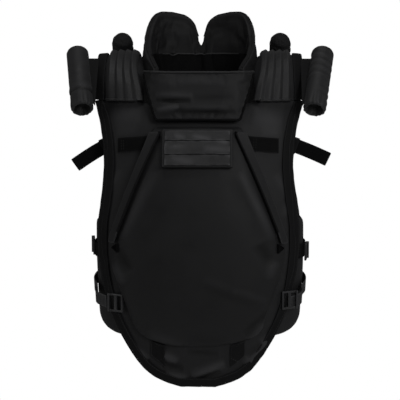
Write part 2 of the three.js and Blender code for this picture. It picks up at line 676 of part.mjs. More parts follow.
for (const { side, sign } of SIDES) {
  addPiece(`side_wing_${side}`, sideWing(sign), FABRIC);
  addPiece(`placket_${side}`, placket(sign), FABRIC);
  addPiece(`chest_strip_${side}`, chestStrip(sign), BLACK_WEBBING);
  addPiece(`tail_strap_${side}`, tailStrap(sign), TRIM);
  addPiece(`saddle_${side}`, saddle(sign), FABRIC);
  addPiece(`saddle_binding_${side}`, saddleBinding(sign), TRIM);
  addPiece(`shoulder_pad_${side}`, shoulderPad(sign), FABRIC);
  addPiece(`front_roll_${side}`, roll(FRONT_ROLL, sign), FABRIC);
  addPiece(`rear_roll_${side}`, roll(REAR_ROLL, sign), TRIM);
  addPiece(`roll_flap_${side}`, rollFlap(sign), TRIM);
  addPiece(`upper_strap_${side}`, upperStrap(sign), BLACK_WEBBING);
  addPiece(`lower_strap_${side}`, lowerStrap(sign), BLACK_WEBBING);
  placeBuckle(`upper_buckle_${side}`, UPPER_BUCKLE, upperBuckleSeat, sign);
  placeBuckle(`lower_buckle_${side}`, LOWER_BUCKLE, lowerBuckleSeat, sign);
}

for (const end of STRAP_ENDS) {
  const curve = strapEndCurve(end);
  addPiece(`strap_end_${end.side}`, ribbon(curve, STRAP_END), BLACK_WEBBING);
  addPiece(`strap_keeper_${end.side}`, ribbon(curve, KEEPER), TRIM);
}

export default vest;
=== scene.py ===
"""Looks of a black padded body armour vest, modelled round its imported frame.

Every piece is in metres in the frame's own axes: the wearer faces -Y, +X is the wearer's left and +Z is up.
"""

import contextlib
import logging
import math
from collections.abc import Iterator, Sequence
from dataclasses import dataclass
from enum import Enum

import bpy
import numpy as np
from mathutils import Matrix, Vector
from mathutils.bvhtree import BVHTree


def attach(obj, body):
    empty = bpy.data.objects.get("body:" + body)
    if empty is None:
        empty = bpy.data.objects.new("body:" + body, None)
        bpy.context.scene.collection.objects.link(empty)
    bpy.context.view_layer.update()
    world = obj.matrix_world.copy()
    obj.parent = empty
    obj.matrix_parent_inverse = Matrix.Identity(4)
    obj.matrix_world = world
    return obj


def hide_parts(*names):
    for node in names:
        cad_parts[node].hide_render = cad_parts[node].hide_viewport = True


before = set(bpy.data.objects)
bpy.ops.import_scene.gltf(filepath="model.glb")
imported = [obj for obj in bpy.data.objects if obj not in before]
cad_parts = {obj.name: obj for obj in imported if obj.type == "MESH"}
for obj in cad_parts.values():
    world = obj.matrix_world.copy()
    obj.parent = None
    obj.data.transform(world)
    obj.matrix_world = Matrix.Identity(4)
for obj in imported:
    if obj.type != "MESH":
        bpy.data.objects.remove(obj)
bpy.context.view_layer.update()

Array = np.ndarray
Piece = bpy.types.Object
LOG = logging.getLogger("vest")
MM = 0.001
BODY = "root"
FULL_FOLD = 4.0  # millimetres of a fold that gets the full painted highlight on its ridge and the full painted shade in its crease
RIM_ANGLE = 50.0  # degrees past which an edge is a corner
THREAD_LIFT = 0.1 * MM  # how far a thread's middle stands off its cloth


class Side(Enum):
    """The wearer's side that a paired piece is on, with its sign along X."""

    RIGHT = -1
    LEFT = 1

    @property
    def word(self) -> str:
        """The side's name as the nodes spell it."""
        return self.name.lower()


class Pick(Enum):
    """What an edit acts on, as Blender's select mode."""

    EDGES = (False, True, False)
    FACES = (False, False, True)


class Slot(Enum):
    """Names of material slots."""

    SHELL = "shell_cloth"
    POCKET = "pocket_cloth"
    PAD = "pad_cloth"
    ROLL = "roll_cloth"
    TAPE = "binding_tape"
    PANEL = "panel_webbing"
    WEBBING = "black_webbing"
    PLASTIC = "buckle_plastic"


# Hand tools


def only(piece: Piece) -> None:
    """Selects one piece alone and makes it active."""
    bpy.ops.object.select_all(action="DESELECT")
    piece.select_set(True)
    bpy.context.view_layer.objects.active = piece


@contextlib.contextmanager
def editing(piece: Piece) -> Iterator[None]:
    """Edit mode on one piece, with the selection that it had."""
    only(piece)
    bpy.ops.object.mode_set(mode="EDIT")
    try:
        yield
    finally:
        bpy.ops.object.mode_set(mode="OBJECT")


def pick(piece: Piece, kind: Pick, chosen: Array) -> None:
    """Selects faces or edges for the next edit.

    Args:
        piece: the mesh object.
        kind: whether chosen counts edges or faces.
        chosen: one truth value for each edge or face.
    """
    mesh = piece.data
    for group in (mesh.vertices, mesh.edges, mesh.polygons):
        group.foreach_set("select", np.zeros(len(group), bool))
    group = mesh.edges if kind is Pick.EDGES else mesh.polygons
    group.foreach_set("select", np.asarray(chosen, bool))
    bpy.context.tool_settings.mesh_select_mode = kind.value


def pick_all(piece: Piece) -> None:
    """Selects every face for the next edit."""
    pick(piece, Pick.FACES, np.ones(len(piece.data.polygons), bool))


def points_of(piece: Piece) -> Array:
    """The piece's vertices as an array of points."""
    flat = np.empty(len(piece.data.vertices) * 3, np.float32)
    piece.data.vertices.foreach_get("co", flat)
    return flat.reshape(-1, 3).astype(float)


def put_points(piece: Piece, points: Array) -> None:
    """Moves the piece's vertices."""
    piece.data.vertices.foreach_set("co", points.astype(np.float32).ravel())
    piece.data.update()


def normals_of(piece: Piece) -> Array:
    """The piece's vertex normals."""
    flat = np.empty(len(piece.data.vertices) * 3, np.float32)
    piece.data.vertex_normals.foreach_get("vector", flat)
    return flat.reshape(-1, 3).astype(float)


def face_table(piece: Piece) -> tuple[Array, Array]:
    """The centres and normals of the piece's faces."""
    mesh = piece.data
    centres = np.empty(len(mesh.polygons) * 3, np.float32)
    normals = np.empty(len(mesh.polygons) * 3, np.float32)
    mesh.polygons.foreach_get("center", centres)
    mesh.polygons.foreach_get("normal", normals)
    return centres.reshape(-1, 3).astype(float), normals.reshape(-1, 3).astype(float)


def edge_ends(piece: Piece) -> Array:
    """The vertex numbers of each edge's two ends."""
    flat = np.empty(len(piece.data.edges) * 2, np.int32)
    piece.data.edges.foreach_get("vertices", flat)
    return flat.reshape(-1, 2)


def edge_faces(piece: Piece) -> list[list[int]]:
    """The numbers of the faces beside each edge."""
    mesh = piece.data
    beside: list[list[int]] = [[] for _ in mesh.edges]
    for face in mesh.polygons:
        for loop in face.loop_indices:
            beside[mesh.loops[loop].edge_index].append(face.index)
    return beside


def edge_bends(piece: Piece) -> Array:
    """The angle between the two faces at each edge, in degrees: above 0 where the surface is convex."""
    centres, normals = face_table(piece)
    bends = np.zeros(len(piece.data.edges))
    for number, (a, b) in enumerate(edge_faces(piece)):
        angle = math.degrees(math.acos(np.clip(normals[a] @ normals[b], -1, 1)))
        bends[number] = angle if (centres[b] - centres[a]) @ normals[a] < 0 else -angle
    return bends


def edge_chains(piece: Piece, chosen: Array) -> list[Array]:
    """Joins chosen edges end to end.

    Args:
        piece: the mesh object.
        chosen: one truth value for each edge.

    Returns:
        The points of each chain in order, with the first point again at the end of a closed one.
    """
    points = points_of(piece)
    links: dict[int, list[int]] = {}
    for a, b in edge_ends(piece)[chosen]:
        links.setdefault(int(a), []).append(int(b))
        links.setdefault(int(b), []).append(int(a))
    chains = []
    while links:
        start = min(links, key=lambda v: (len(links[v]), v))
        chain = [start]
        while links.get(chain[-1]):
            here = chain[-1]
            there = links[here].pop()
            links[there].remove(here)
            chain.append(there)
        links = {v: ends for v, ends in links.items() if ends}
        chains.append(points[chain])
    return chains


def face_rim(piece: Piece, facing: Sequence[float]) -> Array:
    """The closed edge of the smooth face that reaches farthest one way.

    Args:
        piece: the mesh object, not yet rounded.
        facing: the way to look for the face.

    Returns:
        The edge's points in order, the first one again at the end.
    """
    bends, beside = edge_bends(piece), edge_faces(piece)
    links: dict[int, list[int]] = {}
    for number, (a, b) in enumerate(beside):
        if abs(bends[number]) < RIM_ANGLE:
            links.setdefault(a, []).append(b)
            links.setdefault(b, []).append(a)
    start = int((face_table(piece)[0] @ np.array(facing)).argmax())
    smooth, waiting = {start}, [start]
    while waiting:
        fresh = set(links.get(waiting.pop(), [])) - smooth
        smooth |= fresh
        waiting.extend(fresh)
    edge = np.array([len(smooth.intersection(faces)) == 1 for faces in beside])
    return max(edge_chains(piece, edge), key=len)


def open_run(loop: Array, kept: Array) -> Array:
    """The longest stretch of a closed loop whose points are all kept."""
    loop, kept = loop[:-1], kept[:-1]
    turn = int(np.argmin(kept))
    loop, kept = np.roll(loop, -turn, axis=0), np.roll(kept, -turn)
    marks = np.flatnonzero(np.diff(np.concatenate([[0], kept.astype(int), [0]])))
    starts, ends = marks[::2], marks[1::2]
    longest = int(np.argmax(ends - starts))
    return loop[starts[longest] : ends[longest]]


def crease(piece: Piece, chosen: Array, amount: float) -> None:
    """Keeps chosen edges sharp under subdivision, by an amount from 0 to 1."""
    mesh = piece.data
    layer = mesh.attributes.get("crease_edge") or mesh.attributes.new("crease_edge", "FLOAT", "EDGE")
    values = np.zeros(len(mesh.edges), np.float32)
    layer.data.foreach_get("value", values)
    values[chosen] = amount
    layer.data.foreach_set("value", values)


def crease_rims(piece: Piece, amount: float) -> None:
    """Keeps a piece's corners sharp under subdivision, by an amount from 0 to 1."""
    crease(piece, np.abs(edge_bends(piece)) > RIM_ANGLE, amount)


def finish_with(piece: Piece, kind: str, **settings: object) -> None:
    """Adds a modifier and applies it."""
    only(piece)
    modifier = piece.modifiers.new(kind.lower(), kind)
    for name, value in settings.items():
        setattr(modifier, name, value)
    bpy.ops.object.modifier_apply(modifier=modifier.name)


def subdivide(piece: Piece, levels: int, firm: bool = False) -> None:
    """Rounds a piece by subdivision.

    Args:
        piece: the mesh object.
        levels: how often each face is split.
        firm: whether the first split keeps the form, so that the corners stay closer to it.
    """
    if firm:
        pick_all(piece)
        with editing(piece):
            bpy.ops.mesh.subdivide(number_cuts=1)
        levels -= 1
    finish_with(piece, "SUBSURF", levels=levels, render_levels=levels)


def copy_node(node: str, name: str) -> Piece:
    """A merged copy of a node's mesh, in four-sided faces where its triangles pair up.

    Args:
        node: the node to copy.
        name: the new piece's name.

    Returns:
        The new piece, where the node is.
    """
    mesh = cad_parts[node].data.copy()
    mesh.name = name
    mesh.materials.clear()
    piece = bpy.data.objects.new(name, mesh)
    bpy.context.scene.collection.objects.link(piece)
    only(piece)
    if mesh.has_custom_normals:
        bpy.ops.mesh.customdata_custom_splitnormals_clear()
    pick_all(piece)
    with editing(piece):
        bpy.ops.mesh.remove_doubles(threshold=0.05 * MM)
        bpy.ops.mesh.tris_convert_to_quads(face_threshold=math.radians(50), shape_threshold=math.pi)
    return piece


def node_points(node: str) -> Array:
    """The corners of a node's mesh."""
    rough = copy_node(node, "rough")
    points = points_of(rough)
    bpy.data.objects.remove(rough)
    return points


def node_rim(node: str, facing: Sequence[float]) -> Array:
    """The closed edge of the node's face that looks one way."""
    rough = copy_node(node, "rough")
    rim = face_rim(rough, facing)
    bpy.data.objects.remove(rough)
    return rim


def new_piece(name: str) -> Piece:
    """Names the primitive that was just added."""
    piece = bpy.context.active_object
    piece.name = name
    piece.data.name = name
    return piece


def settle(piece: Piece, matrix: Matrix) -> None:
    """Puts a modelled mesh in its place, with its object left at the origin."""
    piece.data.transform(matrix @ piece.matrix_world)
    piece.matrix_world = Matrix.Identity(4)
    piece.data.update()


def hand_over(piece: Piece, finish: "Finish", slot: Slot, *nodes: str, fill: float | None = None) -> None:
    """Dresses a finished piece and puts it on the vest.

    Args:
        piece: the finished mesh.
        finish: what it is made of.
        slot: not used.
        nodes: the nodes that it stands for.
        fill: not used.
    """
    only(piece)
    bpy.ops.object.shade_smooth_by_angle(angle=math.radians(finish.sharp_angle))
    piece.data.materials.clear()
    piece.data.materials.append(finish.material())
    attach(piece, BODY)
    if nodes:
        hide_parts(*nodes)
    LOG.info("%s: %d faces", piece.name, len(piece.data.polygons))


def dress(piece: Piece, finish: "Finish", slot: Slot, *nodes: str, fill: float | None = None) -> None:
    """Lays the weave flat over a finished piece, wears its edges and hands it over.

    Args:
        piece: the finished mesh.
        finish: what it is made of.
        slot: not used; it is only passed on to hand_over.
        nodes: the nodes that it stands for.
        fill: not used; it is only passed on to hand_over.
    """
    lay_flat(piece)
    mark_wear(piece)
    hand_over(piece, finish, slot, *nodes, fill=fill)


# Paths and surfaces


def unit(vectors: Array) -> Array:
    """The vectors at length 1."""
    return vectors / np.maximum(np.linalg.norm(vectors, axis=-1, keepdims=True), 1e-9)


def distances(path: Array) -> Array:
    """How far along a path each of its points lies."""
    return np.concatenate([[0], np.cumsum(np.linalg.norm(np.diff(path, axis=0), axis=1))])


def read_off(rows: Array, along: Array, wanted: Array) -> Array:
    """The rows that belong to wanted distances, between rows at known ones."""
    return np.stack([np.interp(wanted, along, rows[:, k]) for k in range(3)], axis=1)


def resample(path: Array, step: float) -> Array:
    """Points along a path at an even step."""
    along = distances(path)
    return read_off(path, along, np.linspace(0, along[-1], max(2, round(along[-1] / step) + 1)))


def rounded(path: Array, passes: int = 3) -> Array:
    """A path with its corners cut, its ends kept."""
    for _ in range(passes):
        a, b = path[:-1], path[1:]
        cut = np.stack([0.75 * a + 0.25 * b, 0.25 * a + 0.75 * b], axis=1).reshape(-1, 3)
        path = np.concatenate([path[:1], cut, path[-1:]])
    return path


def even_out(rows: Array, span: int = 9) -> Array:
    """Averages each row with its neighbours along a path."""
    framed = np.pad(rows, ((span // 2, span // 2), (0, 0)), mode="edge")
    return np.stack([framed[k : k + len(rows)] for k in range(span)]).mean(axis=0)


class Skin:
    """Finished surfaces that trim is laid on."""

    def __init__(self, *pieces: Piece) -> None:
        """Gathers the surfaces of the pieces."""
        points: list[Sequence[float]] = []
        faces: list[list[int]] = []
        for piece in pieces:
            start = len(points)
            points.extend(points_of(piece).tolist())
            faces.extend([start + v for v in face.vertices] for face in piece.data.polygons)
        self.tree = BVHTree.FromPolygons(points, faces)

    def rest(self, path: Array, lift: float) -> tuple[Array, Array]:
        """Brings a path to the nearest places on the surface.

        Args:
            path: points near the surface.
            lift: how far off the surface the path ends up.

        Returns:
            The path on the surface, and the surface's normals there.
        """
        found = [self.tree.find_nearest(point) for point in path.tolist()]
        normals = np.array([hit[1] for hit in found])
        return np.array([hit[0] for hit in found]) + normals * lift, normals

    def inset(self, path: Array, depth: float, lift: float, inside: Array) -> tuple[Array, Array]:
        """Moves an edge's path into its panel, over the surface.

        Args:
            path: points along the edge.
            depth: how far in from the edge.
            lift: how far off the surface.
            inside: a point inside the panel.

        Returns:
            The path on the surface, and the surface's normals there.
        """
        normals = unit(even_out(self.rest(path, 0)[1]))
        tangents = unit(np.gradient(path, axis=0))
        inwards = unit(np.cross(normals, tangents))
        turn = np.sign(((inside - path) * inwards).sum(axis=1).mean())
        return self.rest(path + inwards * turn * depth, lift)


def lay_along(piece: Piece, path: Array) -> None:
    """Gives a tape or strap a UV map in metres: along its path, and out from it.

    Args:
        piece: the finished tape.
        path: its middle line or its edge.
    """
    fine = resample(path, 2 * MM)
    along = distances(fine)
    points = points_of(piece)
    nearest = np.empty(len(points), int)
    for start in range(0, len(points), 2000):
        block = points[start : start + 2000]
        nearest[start : start + 2000] = np.linalg.norm(block[:, None] - fine[None], axis=2).argmin(axis=1)
    tangents = unit(np.gradient(fine, axis=0))[nearest]
    offset = points - fine[nearest]
    shift = (offset * tangents).sum(axis=1)
    across = np.linalg.norm(offset - shift[:, None] * tangents, axis=1)
    corners = np.empty(len(piece.data.loops), np.int32)
    piece.data.loops.foreach_get("vertex_index", corners)
    layer = piece.data.uv_layers.active or piece.data.uv_layers.new(name="weave")
    spots = np.stack([along[nearest] + shift, across], axis=1)[corners]
    layer.data.foreach_set("uv", spots.astype(np.float32).ravel())


def lay_flat(piece: Piece) -> None:
    """Gives cloth a UV map in metres, from the side that each face looks to."""
    if not piece.data.uv_layers:
        piece.data.uv_layers.new(name="weave")
    pick_all(piece)
    with editing(piece):
        bpy.ops.uv.cube_project(cube_size=1.0, correct_aspect=False, scale_to_bounds=False)


# Soft shaping


@dataclass(frozen=True)
class Fold:
    """A soft ridge in cloth, or a crease where its height is below 0, in millimetres in the front view."""

    start: tuple[float, float]
    end: tuple[float, float]
    width: float
    height: float


def mark(piece: Piece, name: str, values: Array) -> None:
    """Keeps one value for each vertex in an attribute that a finish reads."""
    layer = piece.data.attributes.get(name) or piece.data.attributes.new(name, "FLOAT", "POINT")
    layer.data.foreach_set("value", values.astype(np.float32))


def raise_folds(
    piece: Piece, folds: Sequence[Fold], facing: Vector = Vector((0, -1, 0)), full: float = FULL_FOLD
) -> None:
    """Lifts folds out of the cloth that faces a way, and marks painted highlight on their ridges and painted
    shade in their creases.

    Args:
        piece: the cloth.
        folds: the ridges and creases.
        facing: the way that the folded face looks.
        full: the height in millimetres that gets the full painted highlight on a ridge, and the full painted
            shade in a crease.
    """
    points, normals = points_of(piece), normals_of(piece)
    front = np.clip(2 * (normals @ np.array(facing)), 0, 1)
    lift, drape = np.zeros(len(points)), np.zeros(len(points))
    for fold in folds:
        start, end = np.array(fold.start) * MM, np.array(fold.end) * MM
        run = end - start
        share = np.clip((points[:, [0, 2]] - start) @ run / (run @ run), 0, 1)
        apart = np.linalg.norm(points[:, [0, 2]] - start - share[:, None] * run, axis=1)
        ends = np.sqrt(np.clip(np.sin(np.pi * share), 0, 1))
        shape = np.exp(-((apart / (fold.width * MM)) ** 2)) * ends
        lift += fold.height * MM * shape
        drape += np.clip(fold.height / full, -1, 1) * shape
    put_points(piece, points + normals * (lift * front)[:, None])
    # painted light: the mark paints ridges pale as a highlight and creases dark as shade
    mark(piece, "drape", drape * front)


def undulate(piece: Piece, height: float, span: float, seed: int, waves: int = 9) -> None:
    """Lets cloth sag and swell a little, by a few crossing waves.

    Args:
        piece: the cloth.
        height: about how far it moves.
        span: about how far apart the swells are.
        seed: picks the waves.
        waves: how many there are.
    """
    draw = np.random.default_rng(seed)
    points, normals = points_of(piece), normals_of(piece)
    lift = np.zeros(len(points))
    for _ in range(waves):
        heading = unit(draw.normal(size=3))
        length = span * draw.uniform(0.6, 1.6)
        lift += np.sin(2 * np.pi * (points @ heading) / length + draw.uniform(0, 2 * np.pi))
    put_points(piece, points + normals * (height * lift / math.sqrt(waves))[:, None])


def inflate(piece: Piece, held: Array, pressure: float, cap: float, slack: float = 0.0) -> None:
    """Fills a padded piece by cloth simulation, with its seams held.

    Args:
        piece: the pad, subdivided finely enough to fold.
        held: one truth value for each vertex, true on a seam.
        pressure: how hard it is filled.
        cap: the most that a point moves.
        slack: how much longer the cloth is than the pad, as a share.
    """
    before = points_of(piece)
    seams = piece.vertex_groups.new(name="seams")
    seams.add(np.flatnonzero(held).tolist(), 1.0, "REPLACE")
    only(piece)
    cloth = piece.modifiers.new("fill", "CLOTH")
    cloth.settings.vertex_group_mass = "seams"
    cloth.settings.use_pressure = True
    cloth.settings.uniform_pressure_force = pressure
    cloth.settings.effector_weights.gravity = 0
    cloth.settings.shrink_min = -slack
    cloth.settings.quality = 4
    cloth.collision_settings.use_collision = False
    cloth.point_cache.frame_end = 20
    for number in range(1, 21):
        bpy.context.scene.frame_set(number)
    bpy.ops.object.modifier_apply(modifier=cloth.name)
    bpy.context.scene.frame_set(1)
    piece.vertex_groups.clear()
    move = points_of(piece) - before
    length = np.linalg.norm(move, axis=1, keepdims=True)
    put_points(piece, before + move * np.minimum(1, cap / np.maximum(length, 1e-9)))


def mark_wear(piece: Piece, reach: float = 2.5 * MM) -> None:
    """Marks where a surface stands proud and so wears pale, in an attribute from 0 to 1.

    Args:
        piece: the finished mesh.
        reach: the radius of an edge that wears fully.
    """
    points, normals, ends = points_of(piece), normals_of(piece), edge_ends(piece)
    run = points[ends[:, 1]] - points[ends[:, 0]]
    length = np.maximum((run**2).sum(axis=1), 1e-12)
    bend = ((normals[ends[:, 1]] - normals[ends[:, 0]]) * run).sum(axis=1) / length
    total, count = np.zeros(len(points)), np.zeros(len(points))
    for k in (0, 1):
        np.add.at(total, ends[:, k], bend)
        np.add.at(count, ends[:, k], 1)
    worn = np.clip(total / np.maximum(count, 1) * reach, 0, 1)
    mark(piece, "worn", worn)


# Finishes


class Weave(Enum):
    """How a surface is made up, thread by thread."""

    PLAIN = "threads over and under"
    RIB = "ribs across a tape"
    TWILL = "slanting ribs"
    PILE = "short loose pile"
    MOULDED = "spark-eroded mould face"


class NodeSketch:
    """A material's nodes, added and wired by short calls."""

    def __init__(self, name: str) -> None:
        """Starts a material that holds only its shader."""
        self.material = bpy.data.materials.new(name)
        self.material.use_nodes = True
        self.tree = self.material.node_tree
        self.shader = self.tree.nodes["Principled BSDF"]

    def add(
        self, kind: str, inputs: dict[str | int, object] | None = None, **settings: object
    ) -> bpy.types.Node:
        """Adds a node.

        Args:
            kind: the node's type.
            inputs: a value or another node's output for each input socket.
            settings: the node's own properties.

        Returns:
            The new node.
        """
        node = self.tree.nodes.new(kind)
        for name, value in settings.items():
            setattr(node, name, value)
        for key, value in (inputs or {}).items():
            if isinstance(value, bpy.types.NodeSocket):
                self.tree.links.new(value, node.inputs[key])
            else:
                node.inputs[key].default_value = value
        return node

    def sum(self, operation: str, *values: object) -> bpy.types.NodeSocket:
        """One step of arithmetic on values or sockets."""
        return self.add("ShaderNodeMath", dict(enumerate(values)), operation=operation).outputs[0]

    def noise(self, where: bpy.types.NodeSocket, scale: float, detail: float) -> bpy.types.NodeSocket:
        """Noise from 0 to 1 with a number of cells to the metre."""
        inputs = {"Vector": where, "Scale": scale, "Detail": detail}
        return self.add("ShaderNodeTexNoise", inputs).outputs["Fac"]

    def mix(self, share: object, first: object, second: object) -> bpy.types.NodeSocket:
        """A colour between two."""
        node = self.add("ShaderNodeMix", data_type="RGBA", clamp_factor=True)
        for key, value in ((0, share), (6, first), (7, second)):
            if isinstance(value, bpy.types.NodeSocket):
                self.tree.links.new(value, node.inputs[key])
            else:
                node.inputs[key].default_value = value
        return node.outputs[2]


Colour = tuple[float, float, float]


@dataclass(frozen=True)
class Finish:
    """What a surface is made of: its weave, its colours and how it takes the light."""

    name: str
    weave: Weave
    dark: Colour
    light: Colour
    # the pale colour of worn edges, also used for the painted highlight on fold ridges
    worn: Colour
    pitch: float  # metres from one thread to the next
    depth: float  # metres of relief
    roughness: float
    specular: float
    sheen: float = 0.0
    sharp_angle: float = 50.0  # degrees past which an edge shows as sharp

    def material(self) -> bpy.types.Material:
        """The material, made at its first use."""
        return bpy.data.materials.get(self.name) or self._make()

    def _relief(self, sketch: NodeSketch, spot: bpy.types.Node) -> bpy.types.NodeSocket:
        """The height of the weave, about -1 to 1.

        Args:
            sketch: the material's nodes.
            spot: its texture coordinates.

        Returns:
            The socket that gives the height.
        """
        if self.weave in (Weave.PILE, Weave.MOULDED):
            grain = sketch.noise(spot.outputs["Object"], 1 / self.pitch, 4.0)
            return sketch.sum("MULTIPLY_ADD", grain, 2.0, -1.0)
        scale = (math.pi / self.pitch,) * 3
        threads = sketch.add("ShaderNodeMapping", {"Vector": spot.outputs["UV"], "Scale": scale})
        split = sketch.add("ShaderNodeSeparateXYZ", {0: threads.outputs[0]})
        along, across = split.outputs[0], split.outputs[1]
        if self.weave is Weave.RIB:
            return sketch.sum("SINE", along)
        if self.weave is Weave.TWILL:
            return sketch.sum("SINE", sketch.sum("MULTIPLY_ADD", across, 1.7, along))
        return sketch.sum("MULTIPLY", sketch.sum("SINE", along), sketch.sum("SINE", across))

    def _make(self) -> bpy.types.Material:
        """Wires the finish's material."""
        sketch = NodeSketch(self.name)
        spot = sketch.add("ShaderNodeTexCoord")
        relief = self._relief(sketch, spot)
        handled = sketch.noise(spot.outputs["Object"], 24.0, 5.0)
        uneven = sketch.noise(spot.outputs["Object"], 420.0, 2.0)
        # the relief's high points are painted lighter than its hollows, on a weave a painted highlight on the
        # raised threads; the noises vary the tone at random
        tone = sketch.sum("MULTIPLY_ADD", relief, 0.22, handled)
        tone = sketch.sum("MULTIPLY_ADD", uneven, 0.3, sketch.sum("SUBTRACT", tone, 0.15))
        colour = sketch.mix(tone, (*self.dark, 1), (*self.light, 1))
        wear = sketch.add("ShaderNodeAttribute", attribute_name="worn").outputs["Fac"]
        rubbed = sketch.sum("MULTIPLY", wear, sketch.sum("MULTIPLY", uneven, 1.1))
        colour = sketch.mix(rubbed, colour, (*self.worn, 1))
        # painted highlight on fold ridges, towards the worn colour, and painted shade in creases, towards
        # near-black
        drape = sketch.add("ShaderNodeAttribute", attribute_name="drape").outputs["Fac"]
        colour = sketch.mix(sketch.sum("MULTIPLY", drape, 0.75), colour, (*self.worn, 1))
        colour = sketch.mix(sketch.sum("MULTIPLY", drape, -0.8), colour, (0.001, 0.001, 0.001, 1))
        height = sketch.sum("MULTIPLY_ADD", uneven, 0.8, relief)
        bump = sketch.add("ShaderNodeBump", {"Strength": 0.6, "Distance": self.depth, "Height": height})
        spread = sketch.add("ShaderNodeMapRange", {"Value": handled})
        spread.inputs["From Min"].default_value, spread.inputs["From Max"].default_value = 0.3, 0.7
        spread.inputs["To Min"].default_value = self.roughness - 0.07
        spread.inputs["To Max"].default_value = self.roughness + 0.07
        shader = sketch.shader
        sketch.tree.links.new(colour, shader.inputs["Base Color"])
        sketch.tree.links.new(spread.outputs[0], shader.inputs["Roughness"])
        sketch.tree.links.new(bump.outputs[0], shader.inputs["Normal"])
        shader.inputs["Specular IOR Level"].default_value = self.specular
        shader.inputs["Sheen Weight"].default_value = self.sheen
        shader.inputs["Sheen Roughness"].default_value = 0.45
        return sketch.material


def grey(level: float, cool: float = 1.06) -> Colour:
    """A nearly neutral colour, a little blue."""
    return (level, level, level * cool)


SHELL_CLOTH = Finish(
    "shell_nylon", Weave.PLAIN, grey(0.0095), grey(0.017), grey(0.048), 0.9 * MM, 0.12 * MM, 0.6, 0.28, 0.02
)
POCKET_CLOTH = Finish(
    "pocket_nylon", Weave.PLAIN, grey(0.008), grey(0.014), grey(0.038), 0.9 * MM, 0.1 * MM, 0.58, 0.26, 0.02
)
PAD_CLOTH = Finish(
    "pad_nylon", Weave.PLAIN, grey(0.009), grey(0.017), grey(0.034), 0.7 * MM, 0.1 * MM, 0.55, 0.38, 0.04
)
COLLAR_CLOTH = Finish(
    "collar_nylon", Weave.PLAIN, grey(0.005), grey(0.009), grey(0.024), 0.7 * MM, 0.1 * MM, 0.6, 0.24, 0.02
)
ROLL_CLOTH = Finish(
    "roll_nylon", Weave.PLAIN, grey(0.011), grey(0.019), grey(0.035), 0.7 * MM, 0.1 * MM, 0.6, 0.36, 0.05
)
PILE_CLOTH = Finish(
    "roll_pile", Weave.PILE, grey(0.001), grey(0.02), grey(0.02), 4.0 * MM, 2.0 * MM, 0.7, 0.2, 0.02
)
EDGE_TAPE = Finish(
    "edge_grosgrain", Weave.RIB, grey(0.004), grey(0.007), grey(0.018), 0.8 * MM, 0.15 * MM, 0.7, 0.15, 0.01
)
PANEL_TAPE = Finish(
    "panel_twill", Weave.TWILL, grey(0.014), grey(0.024), grey(0.07), 1.1 * MM, 0.15 * MM, 0.5, 0.45, 0.03
)
STRAP_WEBBING = Finish(
    "strap_webbing", Weave.TWILL, grey(0.0022), grey(0.0045), grey(0.011), 1.4 * MM, 0.2 * MM, 0.72, 0.09, 0.0
)
BUCKLE_PLASTIC = Finish(
    "buckle_acetal", Weave.MOULDED, grey(0.014), grey(0.022), grey(0.05), 0.6 * MM, 0.03 * MM, 0.34, 0.5,
    sharp_angle=35.0,
)
THREAD = Finish(
    "sewing_thread", Weave.MOULDED, grey(0.012), grey(0.024), grey(0.03), 0.8 * MM, 0.05 * MM, 0.55, 0.35,
    sheen=0.05,
)


# Sewing


@dataclass
class Needle:
    """Sews runs of single stitches, each run on a finished surface."""

    length: float = 3.0 * MM
    gap: float = 1.4 * MM
    girth: float = 0.45 * MM

    def __post_init__(self) -> None:
        """Starts with no stitches."""
        self.places: list[Array] = []
        self.frames: list[Array] = []

    def sew(self, path: Array, normals: Array) -> None:
        """Adds a run of stitches.

        Args:
            path: where the thread runs, on a surface.
            normals: the surface's normals there.
        """
        along = distances(path)
        count = int(along[-1] / (self.length + self.gap))
        if count < 1:
            return
        middles = (np.arange(count) + 0.5) * along[-1] / count
        ups = unit(read_off(normals, along, middles))
        heads = unit(read_off(np.gradient(path, axis=0), along, middles))
        sides = unit(np.cross(ups, heads))
        self.places.append(read_off(path, along, middles))
        self.frames.append(np.stack([heads, sides, np.cross(heads, sides)], axis=2))

    def build(self, name: str) -> Piece:
        """Makes every stitch as one joined mesh.

        Args:
            name: the piece's name.

        Returns:
            The joined stitches.
        """
        bpy.ops.object.select_all(action="DESELECT")
        bpy.ops.mesh.primitive_uv_sphere_add(segments=6, ring_count=4, radius=1)
        stitch = new_piece(name)
        shape = points_of(stitch)[:, [2, 0, 1]] * (self.length / 2, self.girth, self.girth)
        faces = [list(face.vertices) for face in stitch.data.polygons]
        places, frames = np.concatenate(self.places), np.concatenate(self.frames)
        points = np.einsum("nij,vj->nvi", frames, shape) + places[:, None]
        joined = bpy.data.meshes.new(name)
        every = [[v + n * len(shape) for v in face] for n in range(len(places)) for face in faces]
        joined.from_pydata(points.reshape(-1, 3).tolist(), [], every)
        stitch.data = joined
        stitch.matrix_world = Matrix.Identity(4)
        pick_all(stitch)
        with editing(stitch):
            bpy.ops.mesh.normals_make_consistent(inside=False)
        return stitch


def tube(name: str, path: Array, radius: float, closed: bool = False) -> Piece:
    """A round cord of cloth along a path, as in piping or a welt.

    Args:
        name: the piece's name.
        path: its middle line.
        radius: half its thickness.
        closed: whether it runs on from its end to its start.

    Returns:
        The tube, with a UV map along it.
    """
    data = bpy.data.curves.new(name, "CURVE")
    data.dimensions = "3D"
    data.bevel_depth = radius
    data.bevel_resolution = 2
    data.use_fill_caps = not closed
    spline = data.splines.new("POLY")
    spline.points.add(len(path) - 1)
    spline.points.foreach_set("co", np.c_[path, np.ones(len(path))].astype(np.float32).ravel())
    spline.use_cyclic_u = closed
    piece = bpy.data.objects.new(name, data)
    bpy.context.scene.collection.objects.link(piece)
    only(piece)
    bpy.ops.object.convert(target="MESH")
    piece = new_piece(name)
    lay_along(piece, path)
    return piece


# The body

FRONT = (0.0, -1.0, 0.0)
BACK = (0.0, 1.0, 0.0)
UP = (0.0, 0.0, 1.0)

